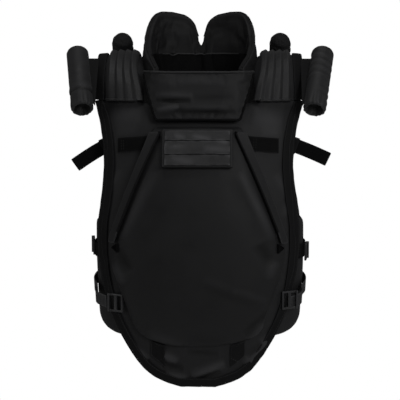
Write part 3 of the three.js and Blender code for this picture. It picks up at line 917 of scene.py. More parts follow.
FRONT_FOLDS = (
    # soft swells of the upper chest
    Fold((-166, -110), (-112, -100), 18, 1.8),
    Fold((-160, -136), (-116, -128), 10, 1.0),
    Fold((104, -104), (166, -116), 20, 2.6),
    Fold((120, -132), (164, -138), 9, 1.2),
    # pulls beside the pocket
    Fold((-176, -250), (-150, -206), 8, 1.2),
    Fold((176, -262), (150, -214), 8, 1.4),
    Fold((166, -300), (178, -268), 7, 1.2),
    # slanting wrinkles of the tail
    Fold((-14, -610), (54, -586), 9, 5.5),
    Fold((-4, -622), (46, -602), 6, -3.0),
    Fold((-72, -566), (-40, -584), 9, 4.5),
    Fold((-70, -590), (-28, -597), 8, -4.0),
    Fold((-66, -608), (-20, -618), 7, 3.0),
    Fold((-24, -562), (40, -566), 8, -3.0),
    Fold((90, -588), (142, -534), 9, 5.5),
    Fold((94, -598), (112, -578), 5, 2.4),
    Fold((96, -574), (124, -546), 6, -3.5),
    Fold((-132, -554), (-98, -582), 7, 4.0),
    Fold((-124, -574), (-98, -592), 5, -3.0),
)
BACK_FOLDS = (
    Fold((-150, -430), (-60, -470), 14, 1.8),
    Fold((40, -450), (150, -410), 14, 1.6),
    Fold((-140, -180), (-90, -250), 12, 1.4),
    Fold((100, -170), (130, -250), 12, 1.4),
)


@dataclass
class Shell:
    """The padded panels of the body and the tape folded over their edges."""

    needle: Needle
    levels: int = 3
    swell: float = 0.45 * MM
    swell_span: float = 0.1
    seam_z: float = -76.5 * MM  # above this a panel's edge butts against a saddle
    saddle_end_z: float = -72.5 * MM
    saddle_edge_x: float = 0.19
    neck_half: float = 0.125  # the neck scoop is within this of the middle
    neck_low: float = -0.2
    saddle_tuck: float = 12 * MM  # how far its inner edge runs on, under the collar
    tape_seams: tuple[float, float] = (4 * MM, 20 * MM)
    pucker: float = 0.22 * MM
    pucker_span: float = 0.022

    def panel(self, node: str, facing: Sequence[float], folds: Sequence[Fold], seed: int) -> Piece:
        """One padded panel.

        Args:
            node: the panel's node.
            facing: the way that its folded face looks.
            folds: its wrinkles.
            seed: picks its swells.

        Returns:
            The finished panel.
        """
        piece = copy_node(node, f"{node}_cover")
        points = points_of(piece)
        heights = points[edge_ends(piece)][:, :, 2]
        butted = heights < self.saddle_end_z if node.startswith("saddle") else heights > self.seam_z
        if node.startswith("saddle"):
            inner = np.abs(points[:, 0]) < np.abs(points[:, 0]).min() + 4 * MM
            points[inner, 0] -= np.sign(points[inner, 0]) * self.saddle_tuck
            put_points(piece, points)
        crease(piece, butted.all(axis=1), 1.0)
        subdivide(piece, self.levels, firm=True)
        undulate(piece, self.swell, self.swell_span, seed)
        raise_folds(piece, folds, Vector(facing))
        dress(piece, SHELL_CLOTH, Slot.SHELL, node, fill=0.8)
        return piece

    def binding(self, node: str, edge: Array, inside: Sequence[float]) -> Piece:
        """Tape folded over an edge, with its two seams.

        Args:
            node: the tape's node.
            edge: the edge that it covers.
            inside: a point inside the panel.

        Returns:
            The finished tape.
        """
        piece = copy_node(node, f"{node}_tape")
        heights = points_of(piece)[edge_ends(piece)][:, :, 2]
        butted = heights < self.saddle_end_z if node.startswith("saddle") else heights > self.seam_z
        crease(piece, butted.all(axis=1), 1.0)
        subdivide(piece, 3, firm=True)
        undulate(piece, self.pucker, self.pucker_span, len(node))
        path = rounded(edge)
        lay_along(piece, path)
        mark_wear(piece)
        hand_over(piece, EDGE_TAPE, Slot.TAPE, node)
        skin = Skin(piece)
        for depth in self.tape_seams:
            self.needle.sew(*skin.inset(resample(path, 6 * MM), depth, THREAD_LIFT, np.array(inside)))
        return piece

    def panel_edge(self, node: str, facing: Sequence[float]) -> Array:
        """The side and lower edge of a body panel, from one armhole round to the other."""
        rim = node_rim(node, facing)
        neck = (np.abs(rim[:, 0]) < self.neck_half) & (rim[:, 2] > self.neck_low)
        return open_run(rim, (rim[:, 2] < self.seam_z + 2 * MM) & ~neck)

    def saddle_edge(self, node: str) -> Array:
        """The outer edge of a shoulder saddle, from front to back."""
        rim = node_rim(node, UP)
        return open_run(rim, np.abs(rim[:, 0]) > self.saddle_edge_x)

    def build(self) -> list[Piece]:
        """Makes the panels and their tape.

        Returns:
            The panels that trim is laid on.
        """
        made = [
            self.panel("front_carrier", FRONT, FRONT_FOLDS, 3),
            self.panel("back_carrier", BACK, BACK_FOLDS, 5),
        ]
        self.binding("front_binding", self.panel_edge("front_carrier", FRONT), (0, -0.13, -0.35))
        self.binding("back_binding", self.panel_edge("back_carrier", BACK), (0, 0.12, -0.3))
        for side in Side:
            out = (side.value, 0, 0)
            made.append(self.panel(f"side_wing_{side.word}", out, (), 7 + side.value))
            made.append(self.panel(f"saddle_{side.word}", UP, (), 11 + side.value))
            edge = self.saddle_edge(f"saddle_{side.word}")
            self.binding(f"saddle_binding_{side.word}", edge, (side.value * 0.15, 0, 0.01))
        return made


# The front pocket and what is sewn on it

POCKET_FOLDS = (
    # the long slack line across the lower half
    Fold((8, -410), (78, -440), 8, 0.9),
    Fold((64, -434), (136, -456), 7, 1.3),
    Fold((10, -428), (126, -470), 14, -1.6),
    # the turned edge at the lower left of the wearer
    Fold((98, -538), (152, -488), 8, 6.0),
    Fold((90, -522), (140, -478), 9, -3.0),
    # pulls from the mouths
    Fold((-156, -360), (-132, -400), 11, -4.0),
    Fold((-166, -388), (-142, -424), 10, 3.0),
    Fold((120, -344), (142, -386), 11, -4.0),
    Fold((152, -378), (136, -414), 9, 2.4),
    # the swell inside each placket
    Fold((80, -204), (146, -338), 10, 3.2),
    Fold((-80, -204), (-146, -338), 10, 2.6),
    Fold((60, -216), (120, -340), 16, -1.2),
    # slack above the welt
    Fold((-96, -520), (-30, -548), 12, 1.8),
    Fold((-20, -532), (60, -540), 12, -1.4),
)


@dataclass
class FrontPocket:
    """The crowned plate pocket, its welt, and the plackets over its slanting edges."""

    needle: Needle
    ground: Sequence[Piece]
    levels: int = 3
    pressure: float = 2.0
    cap: float = 5 * MM
    welt_top: float = -0.505
    seam_top: float = -0.33
    welt_radius: float = 2.3 * MM
    piping_radius: float = 2.0 * MM
    mouth_reach: float = 11 * MM
    mouth_depth: float = 7 * MM

    def cover(self) -> Piece:
        """The pocket's filled face, with its welt and seam."""
        piece = copy_node("plate_pocket", "plate_pocket_cover")
        rim = face_rim(piece, FRONT)
        subdivide(piece, self.levels)
        inflate(piece, normals_of(piece)[:, 1] > -0.2, self.pressure, self.cap)
        undulate(piece, 0.3 * MM, 0.12, 21)
        raise_folds(piece, POCKET_FOLDS)
        dress(piece, POCKET_CLOTH, Slot.POCKET, "plate_pocket", fill=0.8)
        skin = Skin(piece)
        lower = resample(rounded(open_run(rim, rim[:, 2] < self.welt_top)), 4 * MM)
        path, _ = skin.rest(lower, 0.8 * MM)
        welt = tube("pocket_welt", rounded(path, 1), self.welt_radius)
        hand_over(welt, POCKET_CLOTH, Slot.POCKET)
        seam = resample(rounded(open_run(rim, rim[:, 2] < self.seam_top)), 6 * MM)
        self.needle.sew(*skin.inset(seam, 9 * MM, THREAD_LIFT, np.array((0, -0.17, -0.33))))
        return piece

    def placket(self, side: Side) -> Piece:
        """One placket strip with piping round it and its mouth at the lower end.

        Args:
            side: the wearer's side that it is on.

        Returns:
            The strip.
        """
        node = f"placket_{side.word}"
        piece = copy_node(node, f"{node}_strip")
        rim = face_rim(piece, FRONT)
        crease_rims(piece, 0.5)
        subdivide(piece, 3)
        undulate(piece, 0.25 * MM, 0.03, 31)
        dress(piece, SHELL_CLOTH, Slot.SHELL, node)
        bottom = rim[:, 2].min() + 6 * MM
        sides = open_run(rim, rim[:, 2] > bottom)
        top = int(sides[:, 2].argmax())
        peak = sides[max(0, top - 1) : top + 2].mean(axis=0) + (0, 0, 9 * MM)
        halves = [resample(part, 4 * MM) for part in np.array_split(sides, [len(sides) // 2])]
        skin = Skin(piece)
        path = resample(rounded(np.concatenate([halves[0], [peak], halves[1]])), 3 * MM)
        piping = tube(f"{node}_piping", path, self.piping_radius)
        hand_over(piping, EDGE_TAPE, Slot.TAPE)
        for half in halves:
            self.needle.sew(*skin.inset(half, 4 * MM, THREAD_LIFT, rim.mean(axis=0)))
        self.mouth(side, rim[rim[:, 2] < bottom].mean(axis=0))
        return piece

    def mouth(self, side: Side, spot: Array) -> None:
        """The folded corner that closes a placket's lower end.

        Args:
            side: the wearer's side that it is on.
            spot: the placket's lower end.
        """
        bpy.ops.object.select_all(action="DESELECT")
        bpy.ops.mesh.primitive_cylinder_add(vertices=3, radius=self.mouth_reach, depth=self.mouth_depth)
        piece = new_piece(f"placket_{side.word}_mouth")
        centres, normals = face_table(piece)
        pick(piece, Pick.FACES, normals[:, 2] > 0.9)
        with editing(piece):
            bpy.ops.mesh.inset(thickness=2 * MM)
            bpy.ops.transform.translate(value=(0, 0, -3.5 * MM))
        finish_with(piece, "BEVEL", width=0.8 * MM, segments=2)
        pick_all(piece)
        with editing(piece):
            bpy.ops.mesh.quads_convert_to_tris()
            bpy.ops.mesh.subdivide(number_cuts=2)
        finish_with(piece, "SMOOTH", factor=0.5, iterations=4)
        place, normal = Skin(*self.ground).rest(np.array([spot + (0, 0, -9 * MM)]), self.mouth_depth / 3)
        facing = Vector(normal[0])
        turn = facing.to_track_quat("Z", "Y").to_matrix().to_4x4()
        settle(piece, Matrix.Translation(place[0]) @ turn @ Matrix.Rotation(side.value * 0.5, 4, "Z"))
        dress(piece, STRAP_WEBBING, Slot.TAPE)

    def build(self) -> Piece:
        """Makes the pocket and both plackets.

        Returns:
            The pocket's cover.
        """
        made = self.cover()
        self.ground = [*self.ground, made]
        for side in Side:
            self.placket(side)
        return made


# puckers on the chest bands, each also painted pale on its ridge and dark in its hollow as painted highlight
# and shade
BAND_FOLDS = (
    Fold((-44, -136), (-22, -140), 5, 0.9),
    Fold((-10, -137), (26, -143), 5, 1.0),
    Fold((36, -146), (60, -148), 4, 1.2),
    Fold((-56, -158), (-20, -156), 4, 0.5),
    Fold((10, -160), (60, -162), 6, 0.8),
    Fold((-20, -166), (14, -164), 5, -0.5),
    Fold((-50, -178), (-6, -186), 6, 0.7),
    Fold((18, -184), (56, -180), 6, -0.5),
)


@dataclass
class ChestPanel:
    """The patch board at the top of the pocket and its three webbing bands."""

    needle: Needle
    bands: tuple[str, ...] = ("panel_band_top", "panel_band_middle", "panel_band_bottom")
    cuts: int = 14
    full_fold: float = 1.2  # millimetres of a fold that gets its full painted highlight or painted shade on a band
    pucker: float = 0.4 * MM
    pucker_span: float = 0.02
    seam: float = 2.4 * MM

    def board(self) -> None:
        """The padded board with a seam round its face."""
        piece = copy_node("chest_panel", "chest_panel_board")
        rim = face_rim(piece, FRONT)
        crease_rims(piece, 0.75)
        subdivide(piece, 3)
        dress(piece, POCKET_CLOTH, Slot.POCKET, "chest_panel", fill=0.9)
        path = resample(rim, 5 * MM)
        self.needle.sew(*Skin(piece).inset(path, self.seam, THREAD_LIFT, rim.mean(axis=0)))
        edging, _ = Skin(piece).rest(path, 0.2 * MM)
        piping = tube("chest_panel_piping", rounded(edging[:-1], 1), 1.3 * MM, closed=True)
        hand_over(piping, EDGE_TAPE, Slot.TAPE)

    def band(self, node: str, seed: int) -> None:
        """One band, puckered a little between its seams.

        Args:
            node: the band's node.
            seed: picks its puckers.
        """
        piece = copy_node(node, f"{node}_tape")
        rim = face_rim(piece, FRONT)
        crease_rims(piece, 1.0)
        pick_all(piece)
        with editing(piece):
            bpy.ops.mesh.subdivide(number_cuts=self.cuts)
        subdivide(piece, 1)
        undulate(piece, self.pucker, self.pucker_span, seed)
        raise_folds(piece, BAND_FOLDS, full=self.full_fold)
        dress(piece, PANEL_TAPE, Slot.PANEL, node)
        self.needle.sew(*Skin(piece).inset(resample(rim, 4 * MM), self.seam, THREAD_LIFT, rim.mean(axis=0)))

    def build(self) -> None:
        """Makes the board and its bands."""
        self.board()
        for number, node in enumerate(self.bands):
            self.band(node, 41 + number)


# The neck

GUARD_FOLDS = (
    Fold((-84, -34), (70, -36), 7, 0.8),
    Fold((-82, -60), (-10, -62), 6, 2.4),
    Fold((-82, -71), (-14, -72), 4, -4.4),
    Fold((-10, -70), (70, -66), 7, -1.6),
    Fold((-80, -90), (-36, -83), 5, 5.0),
    Fold((-34, -84), (60, -84), 7, 1.4),
    Fold((-44, -93), (74, -95), 5, -3.6),
    Fold((-78, -104), (78, -105), 2.5, 1.2),
)


@dataclass
class Neck:
    """The throat guard in front and the standing collar behind it."""

    needle: Needle
    levels: int = 3
    pressure: float = 3.0
    guard_cap: float = 5 * MM
    collar_cap: float = 4 * MM
    guard_edging: float = 2.4 * MM
    slack: float = 0.012
    piping_radius: float = 1.7 * MM
    collar_top: float = -0.02  # the collar's front ends begin here
    collar_seam_z: float = 0.013

    def guard(self) -> Piece:
        """The filled trapezoid with piping round its face."""
        piece = copy_node("throat_guard", "throat_guard_cover")
        rim = face_rim(piece, FRONT)
        crease_rims(piece, 0.5)
        subdivide(piece, self.levels, firm=True)
        inflate(piece, normals_of(piece)[:, 1] > -0.25, self.pressure, self.guard_cap, self.slack)
        raise_folds(piece, GUARD_FOLDS)
        dress(piece, POCKET_CLOTH, Slot.PAD, "throat_guard", fill=0.7)
        skin = Skin(piece)
        path = resample(rim, 4 * MM)
        for name, kept, finish in (
            ("hem", path[:, 2] > path[:, 2].max() - 5 * MM, PAD_CLOTH),
            # the edging is a real cord, made near-black as painted shade along the guard's sides and lower
            # edge
            ("edging", path[:, 2] < path[:, 2].max() - 3 * MM, STRAP_WEBBING),
        ):
            edging, _ = skin.rest(open_run(path, kept), 0.6 * MM)
            piping = tube(f"throat_guard_{name}", rounded(edging, 1), self.guard_edging)
            hand_over(piping, finish, Slot.PAD)
        self.needle.sew(*skin.inset(path, 6 * MM, THREAD_LIFT, rim.mean(axis=0)))
        return piece

    def collar(self) -> Piece:
        """The filled collar with piping along its top and a seam round its inside."""
        piece = copy_node("neck_collar", "neck_collar_cover")
        rim = face_rim(piece, (1, 0, 0))
        rough = points_of(piece)[edge_ends(piece)[np.abs(edge_bends(piece)) > RIM_ANGLE]].mean(axis=1)
        crease_rims(piece, 0.35)
        subdivide(piece, self.levels, firm=True)
        near = np.array([np.min(np.linalg.norm(rough - point, axis=1)) for point in points_of(piece)])
        inflate(piece, near < 12 * MM, self.pressure, self.collar_cap, self.slack)
        undulate(piece, 0.5 * MM, 0.07, 53)
        dress(piece, COLLAR_CLOTH, Slot.PAD, "neck_collar", fill=0.7)
        # a near-black sheet below the seam stands for painted shade inside the collar
        self.lining(piece)
        skin = Skin(piece)
        top = resample(rounded(open_run(rim, rim[:, 2] > self.collar_top)), 4 * MM)
        ridge, _ = skin.rest(top * (0.95, 0.95, 1) + (0, 0, 6 * MM), 0.6 * MM)
        notch = np.abs(ridge[:, 0]) < 6 * MM
        for run in np.split(ridge, [int(notch.argmax()), int(len(notch) - notch[::-1].argmax())])[::2]:
            name = f"neck_collar_piping_{Side.LEFT.word if run[:, 0].mean() > 0 else Side.RIGHT.word}"
            hand_over(tube(name, rounded(run, 1), self.piping_radius), COLLAR_CLOTH, Slot.PAD)
        wide = np.abs(top[:, 0]) > 0.03
        middle = len(top) // 2
        for run in (top[:middle][wide[:middle]], top[middle:][wide[middle:]]):
            self.needle.sew(*skin.inset(run, 9 * MM, THREAD_LIFT, np.array((0, 0.0, -0.05))))
        angles = np.radians(np.linspace(25, 155, 40))
        inner = np.stack([0.07 * np.cos(angles), 0.055 * np.sin(angles)], axis=1)
        ring = np.column_stack([inner, np.full(len(inner), self.collar_seam_z)])
        seam, _ = skin.rest(ring, 0.4 * MM)
        hand_over(tube("neck_collar_seam", rounded(seam, 1), 1.6 * MM), PAD_CLOTH, Slot.PAD)
        return piece

    def lining(self, collar: Piece) -> None:
        """A near-black sheet laid inside the collar, below its seam, as painted shade of the collar's inside.

        Args:
            collar: the finished collar.
        """
        only(collar)
        bpy.ops.object.duplicate()
        piece = new_piece("neck_collar_lining")
        centres, normals = face_table(piece)
        inwards = np.einsum("ij,ij->i", normals[:, :2], unit(centres[:, :2])) < -0.4
        pick(piece, Pick.FACES, ~(inwards & (centres[:, 2] < self.collar_seam_z)))
        with editing(piece):
            bpy.ops.mesh.delete(type="FACE")
        put_points(piece, points_of(piece) + normals_of(piece) * 0.3 * MM)
        finish_with(piece, "SOLIDIFY", thickness=0.5 * MM, offset=1)
        # the darkest finish makes the sheet painted shade
        hand_over(piece, STRAP_WEBBING, Slot.PAD)

    def build(self) -> list[Piece]:
        """Makes the guard and the collar.

        Returns:
            Both.
        """
        return [self.guard(), self.collar()]


# The shoulders


class RollEnd(Enum):
    """How a bolster is wrinkled: the number of rings along it and their depth."""

    RING_SEAM = (5, 0.3 * MM)
    SERRATED = (9, 0.8 * MM)
    CRINKLED = (8, 0.9 * MM)


@dataclass
class Shoulder:
    """The ribbed pad and the two bolsters of one shoulder."""

    needle: Needle
    side: Side
    valley_bend: float = -8.0
    pressure: float = 2.0
    cap: float = 2.5 * MM
    sides: int = 48
    rings: int = 40
    # how far each ring of a roll's end steps in, and sinks at the lower end, in radii
    recess: tuple[tuple[float, float], ...] = ((0.16, -0.02), (0.22, 0.3), (0.25, 0.4), (0.2, 0.1))
    flap_inner_x: float = 0.2098  # the flap's edge on the saddle is nearer the middle than this
    flap_stretch: float = 2.0
    flap_drop: float = 17 * MM
    flap_tuck: float = 9 * MM  # hidden under the saddle's tape and behind the roll

    def pad(self) -> Piece:
        """The pad, its ribs filled between the sewn valleys."""
        node = f"shoulder_pad_{self.side.word}"
        piece = copy_node(node, f"{node}_cover")
        bends = edge_bends(piece)
        rim = face_rim(piece, UP)
        valleys = edge_chains(piece, bends < self.valley_bend)
        crease(piece, bends < self.valley_bend, 0.8)
        crease(piece, bends > RIM_ANGLE, 0.7)
        subdivide(piece, 3, firm=True)
        sewn = np.concatenate([resample(valley, 3 * MM) for valley in valleys])
        near = np.array([np.min(np.linalg.norm(sewn - point, axis=1)) for point in points_of(piece)])
        middle = points_of(piece).mean(axis=0) * (1, 1, 0) + (0, 0, -0.07)
        under = np.einsum("ij,ij->i", normals_of(piece), points_of(piece) - middle) < 0.02
        inflate(piece, (near < 3 * MM) | under, self.pressure, self.cap)
        dress(piece, PAD_CLOTH, Slot.PAD, node, fill=0.6)
        skin = Skin(piece)
        for valley in valleys:
            self.needle.sew(*skin.rest(resample(rounded(valley), 5 * MM), 0.15 * MM))
        for way in (-1, 1):
            ends = (rim[:, 2] < rim[:, 2].min() + 12 * MM) & (rim[:, 1] * way > 0)
            edge, _ = skin.rest(resample(open_run(rim, ends), 4 * MM), 0.5 * MM)
            name = f"{node}_{'front' if way < 0 else 'rear'}_piping"
            hand_over(tube(name, rounded(edge, 1), 2.5 * MM), PAD_CLOTH, Slot.PAD)
        return piece

    def roll(self, node: str, end: RollEnd, finish: Finish, dome: float, seed: int) -> Piece:
        """One bolster, gathered at its lower end.

        Args:
            node: the bolster's node.
            end: how it is wrinkled.
            finish: its cloth.
            dome: the height of its round top, in radii.
            seed: picks the wrinkles.

        Returns:
            The bolster.
        """
        points = node_points(node)
        middle = (points.max(axis=0) + points.min(axis=0)) / 2
        axis = np.linalg.svd(points - points.mean(axis=0))[2][0]
        axis = axis if axis[2] > 0 else -axis
        along = (points - middle) @ axis
        middle = middle + axis * (along.max() + along.min()) / 2
        length = float(np.ptp(along))
        aside = points - middle - np.outer((points - middle) @ axis, axis)
        radius = float(np.linalg.norm(aside, axis=1).max())
        bpy.ops.object.select_all(action="DESELECT")
        bpy.ops.mesh.primitive_cylinder_add(vertices=self.sides, radius=radius, depth=length)
        piece = new_piece(f"{node}_cover")
        self.shape(piece, length, radius, end, dome, seed)
        turn = Vector(axis).to_track_quat("Z", "Y").to_matrix().to_4x4()
        lay_along(piece, np.array([(0, 0, -length / 2), (0, 0, length / 2)]))
        settle(piece, Matrix.Translation(middle) @ turn)
        mark_wear(piece)
        hand_over(piece, finish, Slot.ROLL, node, fill=0.5)
        return piece

    def shape(
        self, piece: Piece, length: float, radius: float, end: RollEnd, dome: float, seed: int
    ) -> None:
        """Rounds a plain cylinder into a bolster, wrinkles it, and marks painted shade in its sunk lower end
        and painted light on its wrinkles.

        Args:
            piece: the cylinder, upright about the origin.
            length: its length.
            radius: its radius.
            end: how it is wrinkled.
            dome: the height of its round top, in radii.
            seed: picks the wrinkles.
        """
        upright = np.abs(points_of(piece)[edge_ends(piece)][:, :, 2].sum(axis=1)) < 1e-6
        pick(piece, Pick.EDGES, upright)
        with editing(piece):
            bpy.ops.mesh.subdivide(number_cuts=self.rings)
        for way in (-1, 1):
            normals = face_table(piece)[1]
            pick(piece, Pick.FACES, normals[:, 2] * way > 0.9)
            with editing(piece):
                for share, drop in self.recess:
                    bpy.ops.mesh.inset(thickness=radius * share)
                    bpy.ops.transform.translate(value=(0, 0, radius * drop if way < 0 else 0))
        subdivide(piece, 1)
        points = points_of(piece)
        rng = np.random.default_rng(seed)
        turn = np.arctan2(points[:, 1], points[:, 0])
        reach = np.hypot(points[:, 0], points[:, 1]) / radius
        height = points[:, 2] / length + 0.5
        pull = np.exp(-((height / 0.16) ** 2)) + 0.35 * np.exp(-(((1 - height) / 0.12) ** 2))
        gather = sum(np.sin(k * turn + rng.uniform(0, 6.3)) for k in (9, 14, 17)) / 3
        move = 1.1 * MM * pull * gather
        if end is RollEnd.RING_SEAM:
            move = move - 2.6 * MM * np.exp(-(((height - 0.24) / 0.022) ** 2))
            move = move + 1.0 * MM * np.exp(-(((height - 0.3) / 0.04) ** 2))
        waves, depth = end.value
        slant = rng.uniform(0, 6.3)
        rings = np.sin(2 * math.pi * waves * height + 1.3 * np.sin(2 * turn + slant))
        move = move + depth * rings * (0.5 + 0.5 * np.sin(turn + slant + 2 * np.sin(7 * height)))
        top = np.clip((height - 1) * length / (dome * radius) + 1, 0, 1)
        foot = np.clip(1 - height * length / (0.3 * radius), 0, 1)
        taper = np.sqrt(1 - 0.86 * top**2) * np.sqrt(1 - 0.25 * foot**2)
        move = move * (1 - 0.7 * top)
        scale = (taper + np.where(reach > 0.8, move / radius, move / radius * 0.5))[:, None]
        put_points(piece, np.concatenate([points[:, :2] * np.minimum(scale, 1.04), points[:, 2:]], axis=1))
        # painted shade darkens the sunk lower end, and painted highlight and shade follow the wrinkles'
        # crests and troughs
        mark(piece, "drape", -1.25 * np.clip((0.88 - reach) * 6, 0, 1) * (height < 0.25) + move / (3 * MM))

    def flap(self) -> None:
        """The strip that joins the front bolster to the saddle."""
        node = f"roll_flap_{self.side.word}"
        piece = copy_node(node, f"{node}_tape")
        points = points_of(piece)
        inner = np.abs(points[:, 0]) < self.flap_inner_x
        middle = points.mean(axis=0)
        points[:, 1:] = middle[1:] + (points[:, 1:] - middle[1:]) * self.flap_stretch - self.flap_drop
        points[:, 0] += self.side.value * np.where(inner, -self.flap_tuck, self.flap_tuck)
        put_points(piece, points)
        crease_rims(piece, 1.0)
        subdivide(piece, 2)
        dress(piece, EDGE_TAPE, Slot.TAPE, node)

    def build(self) -> None:
        """Makes the pad, the bolsters and the flap."""
        word = self.side.word
        front = RollEnd.RING_SEAM if self.side is Side.RIGHT else RollEnd.SERRATED
        self.pad()
        self.roll(f"front_roll_{word}", front, ROLL_CLOTH, 0.55, 61 + self.side.value)
        self.roll(f"rear_roll_{word}", RollEnd.CRINKLED, PILE_CLOTH, 1.0, 67 + self.side.value)
        self.flap()


# Webbing


class Along(Enum):
    """The axis that a strap mostly runs along."""

    X = 0
    Y = 1
    Z = 2


@dataclass(frozen=True)
class Strap:
    """One strap: its node without the side, how it runs, and where bar tacks cross it."""

    node: str
    along: Along
    finish: Finish
    slot: Slot
    row: int = 4
    tacks: tuple[float, ...] = ()
    seams: bool = False
    tack_half: float = 10 * MM
    tack_step: float = 0.05  # share of the strap that gives its heading at a tack

    def spine(self, node: str) -> Array:
        """The strap's middle line, from its rows of corners."""
        points = node_points(node)
        points = points[np.argsort(points[:, self.along.value], kind="stable")]
        return points.reshape(-1, self.row, 3).mean(axis=1)

    def build(self, side: Side, needle: Needle) -> Piece:
        """Makes the strap on one side.

        Args:
            side: the wearer's side that it is on.
            needle: sews its bar tacks.

        Returns:
            The strap.
        """
        node = f"{self.node}_{side.word}"
        path = self.spine(node)
        piece = copy_node(node, f"{node}_webbing")
        rim = face_rim(piece, (side.value * 0.3, -1, 0)) if self.seams else None
        crease_rims(piece, 0.9)
        subdivide(piece, 3, firm=True)
        lay_along(piece, path)
        mark_wear(piece)
        hand_over(piece, self.finish, self.slot, node)
        skin = Skin(piece)
        steps = distances(path)
        for share in self.tacks:
            shares = np.clip([share, share + self.tack_step, share - self.tack_step], 0, 1)
            spot, ahead, behind = read_off(path, steps, shares * steps[-1])
            outwards = np.array((side.value * 0.3, -1, 0.2)) * 10 * MM
            outer, normal = skin.rest(np.array([spot + outwards]), THREAD_LIFT)
            across = unit(np.cross(normal[0], ahead - behind))
            line = outer[0] + across * np.linspace(-1, 1, 7)[:, None] * self.tack_half
            needle.sew(*skin.rest(line + normal[0] * 2 * MM, THREAD_LIFT))
        if rim is not None:
            needle.sew(*skin.inset(resample(rim, 5 * MM), 2.5 * MM, THREAD_LIFT, rim.mean(axis=0)))
        return piece


STRAPS = (
    Strap("chest_strip", Along.X, STRAP_WEBBING, Slot.WEBBING, tacks=(0.12, 0.2), seams=True),
    Strap("strap_end", Along.X, STRAP_WEBBING, Slot.WEBBING),
    Strap("strap_keeper", Along.X, EDGE_TAPE, Slot.TAPE),
    Strap("tail_strap", Along.Z, EDGE_TAPE, Slot.PANEL, row=6, tacks=(0.08, 0.92), seams=True),
    Strap("upper_strap", Along.Y, STRAP_WEBBING, Slot.WEBBING, tacks=(0.06, 0.12)),
    Strap("lower_strap", Along.Y, PANEL_TAPE, Slot.WEBBING, tacks=(0.06, 0.12)),
)


@dataclass
class Buckle:
    """A flat ladder lock: two slots, a bar between them and a raised lip to lift."""

    side: Side
    node: str
    strap: Piece
    rim: float = 4 * MM
    bar: float = 7 * MM
    thick: float = 4 * MM
    lip: float = 3 * MM

    def build(self) -> Piece:
        """Makes the buckle where its node is.

        Returns:
            The buckle.
        """
        node = f"{self.node}_{self.side.word}"
        points = node_points(node)
        middle = points.mean(axis=0)
        axes = np.linalg.svd(points - middle)[2]
        out = axes[2] if axes[2] @ (self.side.value, -1, 0) > 0 else -axes[2]
        seat, _ = Skin(self.strap).rest(np.array([middle + out * 20 * MM]), 0.0)
        middle = middle + out * (seat[0] - middle) @ out
        up = unit(np.array(UP) - out * out[2])
        across = np.cross(up, out)
        half_x, half_y = np.ptp(points @ across) / 2, np.ptp(points @ up) / 2
        bpy.ops.object.select_all(action="DESELECT")
        bpy.ops.mesh.primitive_grid_add(x_subdivisions=5, y_subdivisions=3, size=2)
        piece = new_piece(f"{node}_lock")
        half_lines = np.array([self.bar / 2, half_x - self.rim, half_x])
        lines_x = np.concatenate([-half_lines[::-1], half_lines])
        lines_y = np.array([-half_y, -half_y + self.rim, half_y - self.rim, half_y])
        flat = points_of(piece)
        column = np.rint((flat[:, 0] + 1) * 2.5).astype(int)
        row = np.rint((flat[:, 1] + 1) * 1.5).astype(int)
        put_points(piece, np.stack([lines_x[column], lines_y[row], np.zeros(len(flat))], axis=1))
        centres, _ = face_table(piece)
        slots = (np.abs(centres[:, 1]) < half_y - self.rim) & (np.abs(centres[:, 0]) > self.bar / 2)
        slots &= np.abs(centres[:, 0]) < half_x - self.rim
        pick(piece, Pick.FACES, slots)
        with editing(piece):
            bpy.ops.mesh.delete(type="FACE")
        finish_with(piece, "SOLIDIFY", thickness=self.thick, offset=0)
        centres, normals = face_table(piece)
        end = centres[:, 0] * self.side.value > half_x - self.rim
        pick(piece, Pick.FACES, end & (normals[:, 2] > 0.9))
        with editing(piece):
            bpy.ops.mesh.extrude_region_move(TRANSFORM_OT_translate={"value": (0, 0, self.lip)})
        finish_with(piece, "BEVEL", width=0.9 * MM, segments=3, limit_method="ANGLE")
        basis = Matrix(np.stack([across, up, out], axis=1).tolist()).to_4x4()
        settle(piece, Matrix.Translation(middle + out * self.thick * 0.4) @ basis)
        dress(piece, BUCKLE_PLASTIC, Slot.PLASTIC, node)
        return piece


# The studio


@dataclass(frozen=True)
class Lamp:
    """A soft rectangular light that looks at the vest's middle."""

    name: str
    place: tuple[float, float, float]
    size: tuple[float, float]
    power: float


LAMPS = (
    Lamp("key_light", (1.3, -2.4, 0.7), (0.9, 0.9), 21),
    Lamp("top_light", (-0.2, -0.7, 2.3), (1.4, 1.0), 14),
    Lamp("fill_left", (2.3, -0.6, 0.2), (0.8, 1.8), 4),
    Lamp("fill_right", (-2.3, -1.0, 0.1), (0.8, 1.8), 5),
)


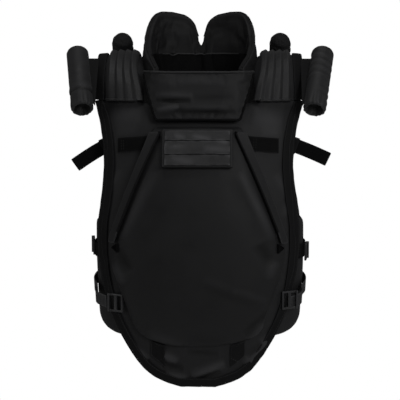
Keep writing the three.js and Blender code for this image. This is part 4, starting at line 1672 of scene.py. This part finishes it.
@dataclass
class Studio:
    """Camera, lights, the white surround and the pale floor."""

    target: tuple[float, float, float] = (0.0, 0.0, -0.281)
    azimuth: float = 1.8
    elevation: float = 7.5
    reach: float = 2.8
    lens: float = 124.0
    floor_z: float = -1.45
    floor_half: float = 2.4
    white: float = 1.0  # what the camera sees behind the vest
    ambient: float = 0.08  # what the vest gets from all round

    def camera(self) -> None:
        """Stands the camera where the photo was taken."""
        turn, lift = math.radians(self.azimuth), math.radians(self.elevation)
        away = Vector((math.sin(turn) * math.cos(lift), -math.cos(turn) * math.cos(lift), math.sin(lift)))
        bpy.ops.object.camera_add(location=Vector(self.target) + away * self.reach)
        camera = bpy.context.object
        camera.name = "camera"
        camera.rotation_euler = away.to_track_quat("Z", "Y").to_euler()
        camera.data.lens = self.lens
        camera.data.clip_end = 60
        bpy.context.scene.camera = camera

    def light(self) -> None:
        """Hangs the lamps and whitens the surround."""
        for lamp in LAMPS:
            bpy.ops.object.light_add(type="AREA", location=lamp.place)
            light = bpy.context.object
            light.name = lamp.name
            light.data.shape = "RECTANGLE"
            light.data.size, light.data.size_y = lamp.size
            light.data.energy = lamp.power
            away = Vector(lamp.place) - Vector(self.target)
            light.rotation_euler = away.to_track_quat("Z", "Y").to_euler()
        world = bpy.data.worlds.new("white_surround")
        world.use_nodes = True
        backdrop = world.node_tree.nodes["Background"]
        backdrop.inputs["Color"].default_value = (1, 1, 1, 1)
        rays = world.node_tree.nodes.new("ShaderNodeLightPath")
        strength = world.node_tree.nodes.new("ShaderNodeMath")
        strength.operation = "MULTIPLY_ADD"
        strength.inputs[1].default_value = self.white - self.ambient
        strength.inputs[2].default_value = self.ambient
        world.node_tree.links.new(rays.outputs["Is Camera Ray"], strength.inputs[0])
        world.node_tree.links.new(strength.outputs[0], backdrop.inputs["Strength"])
        bpy.context.scene.world = world
        bpy.context.scene.view_settings.view_transform = "Standard"

    def floor(self) -> None:
        """Lays the pale floor."""
        bpy.ops.object.select_all(action="DESELECT")
        bpy.ops.mesh.primitive_plane_add(size=2 * self.floor_half, location=(0, 0, self.floor_z))
        piece = new_piece("floor")
        settle(piece, Matrix.Identity(4))
        paint = bpy.data.materials.new("pale_floor")
        paint.use_nodes = True
        shader = paint.node_tree.nodes["Principled BSDF"]
        shader.inputs["Base Color"].default_value = (0.9, 0.9, 0.9, 1)
        shader.inputs["Roughness"].default_value = 0.9
        piece.data.materials.append(paint)

    def build(self) -> None:
        """Sets the studio up."""
        self.camera()
        self.light()
        self.floor()


def main() -> None:
    """Builds the vest over its frame and sets up the studio."""
    logging.basicConfig(level=logging.INFO, format="%(name)s: %(message)s")
    needle = Needle()
    ground = Shell(needle).build()
    ground.append(FrontPocket(needle, ground).build())
    ChestPanel(needle).build()
    Neck(needle).build()
    for side in Side:
        Shoulder(needle, side).build()
        straps = {strap.node: strap.build(side, needle) for strap in STRAPS}
        for row in ("upper", "lower"):
            Buckle(side, f"{row}_buckle", straps[f"{row}_strap"]).build()
    stitches = needle.build("stitches")
    hand_over(stitches, THREAD, Slot.SHELL)
    Studio().build()


if __name__ == "__main__":
    main()
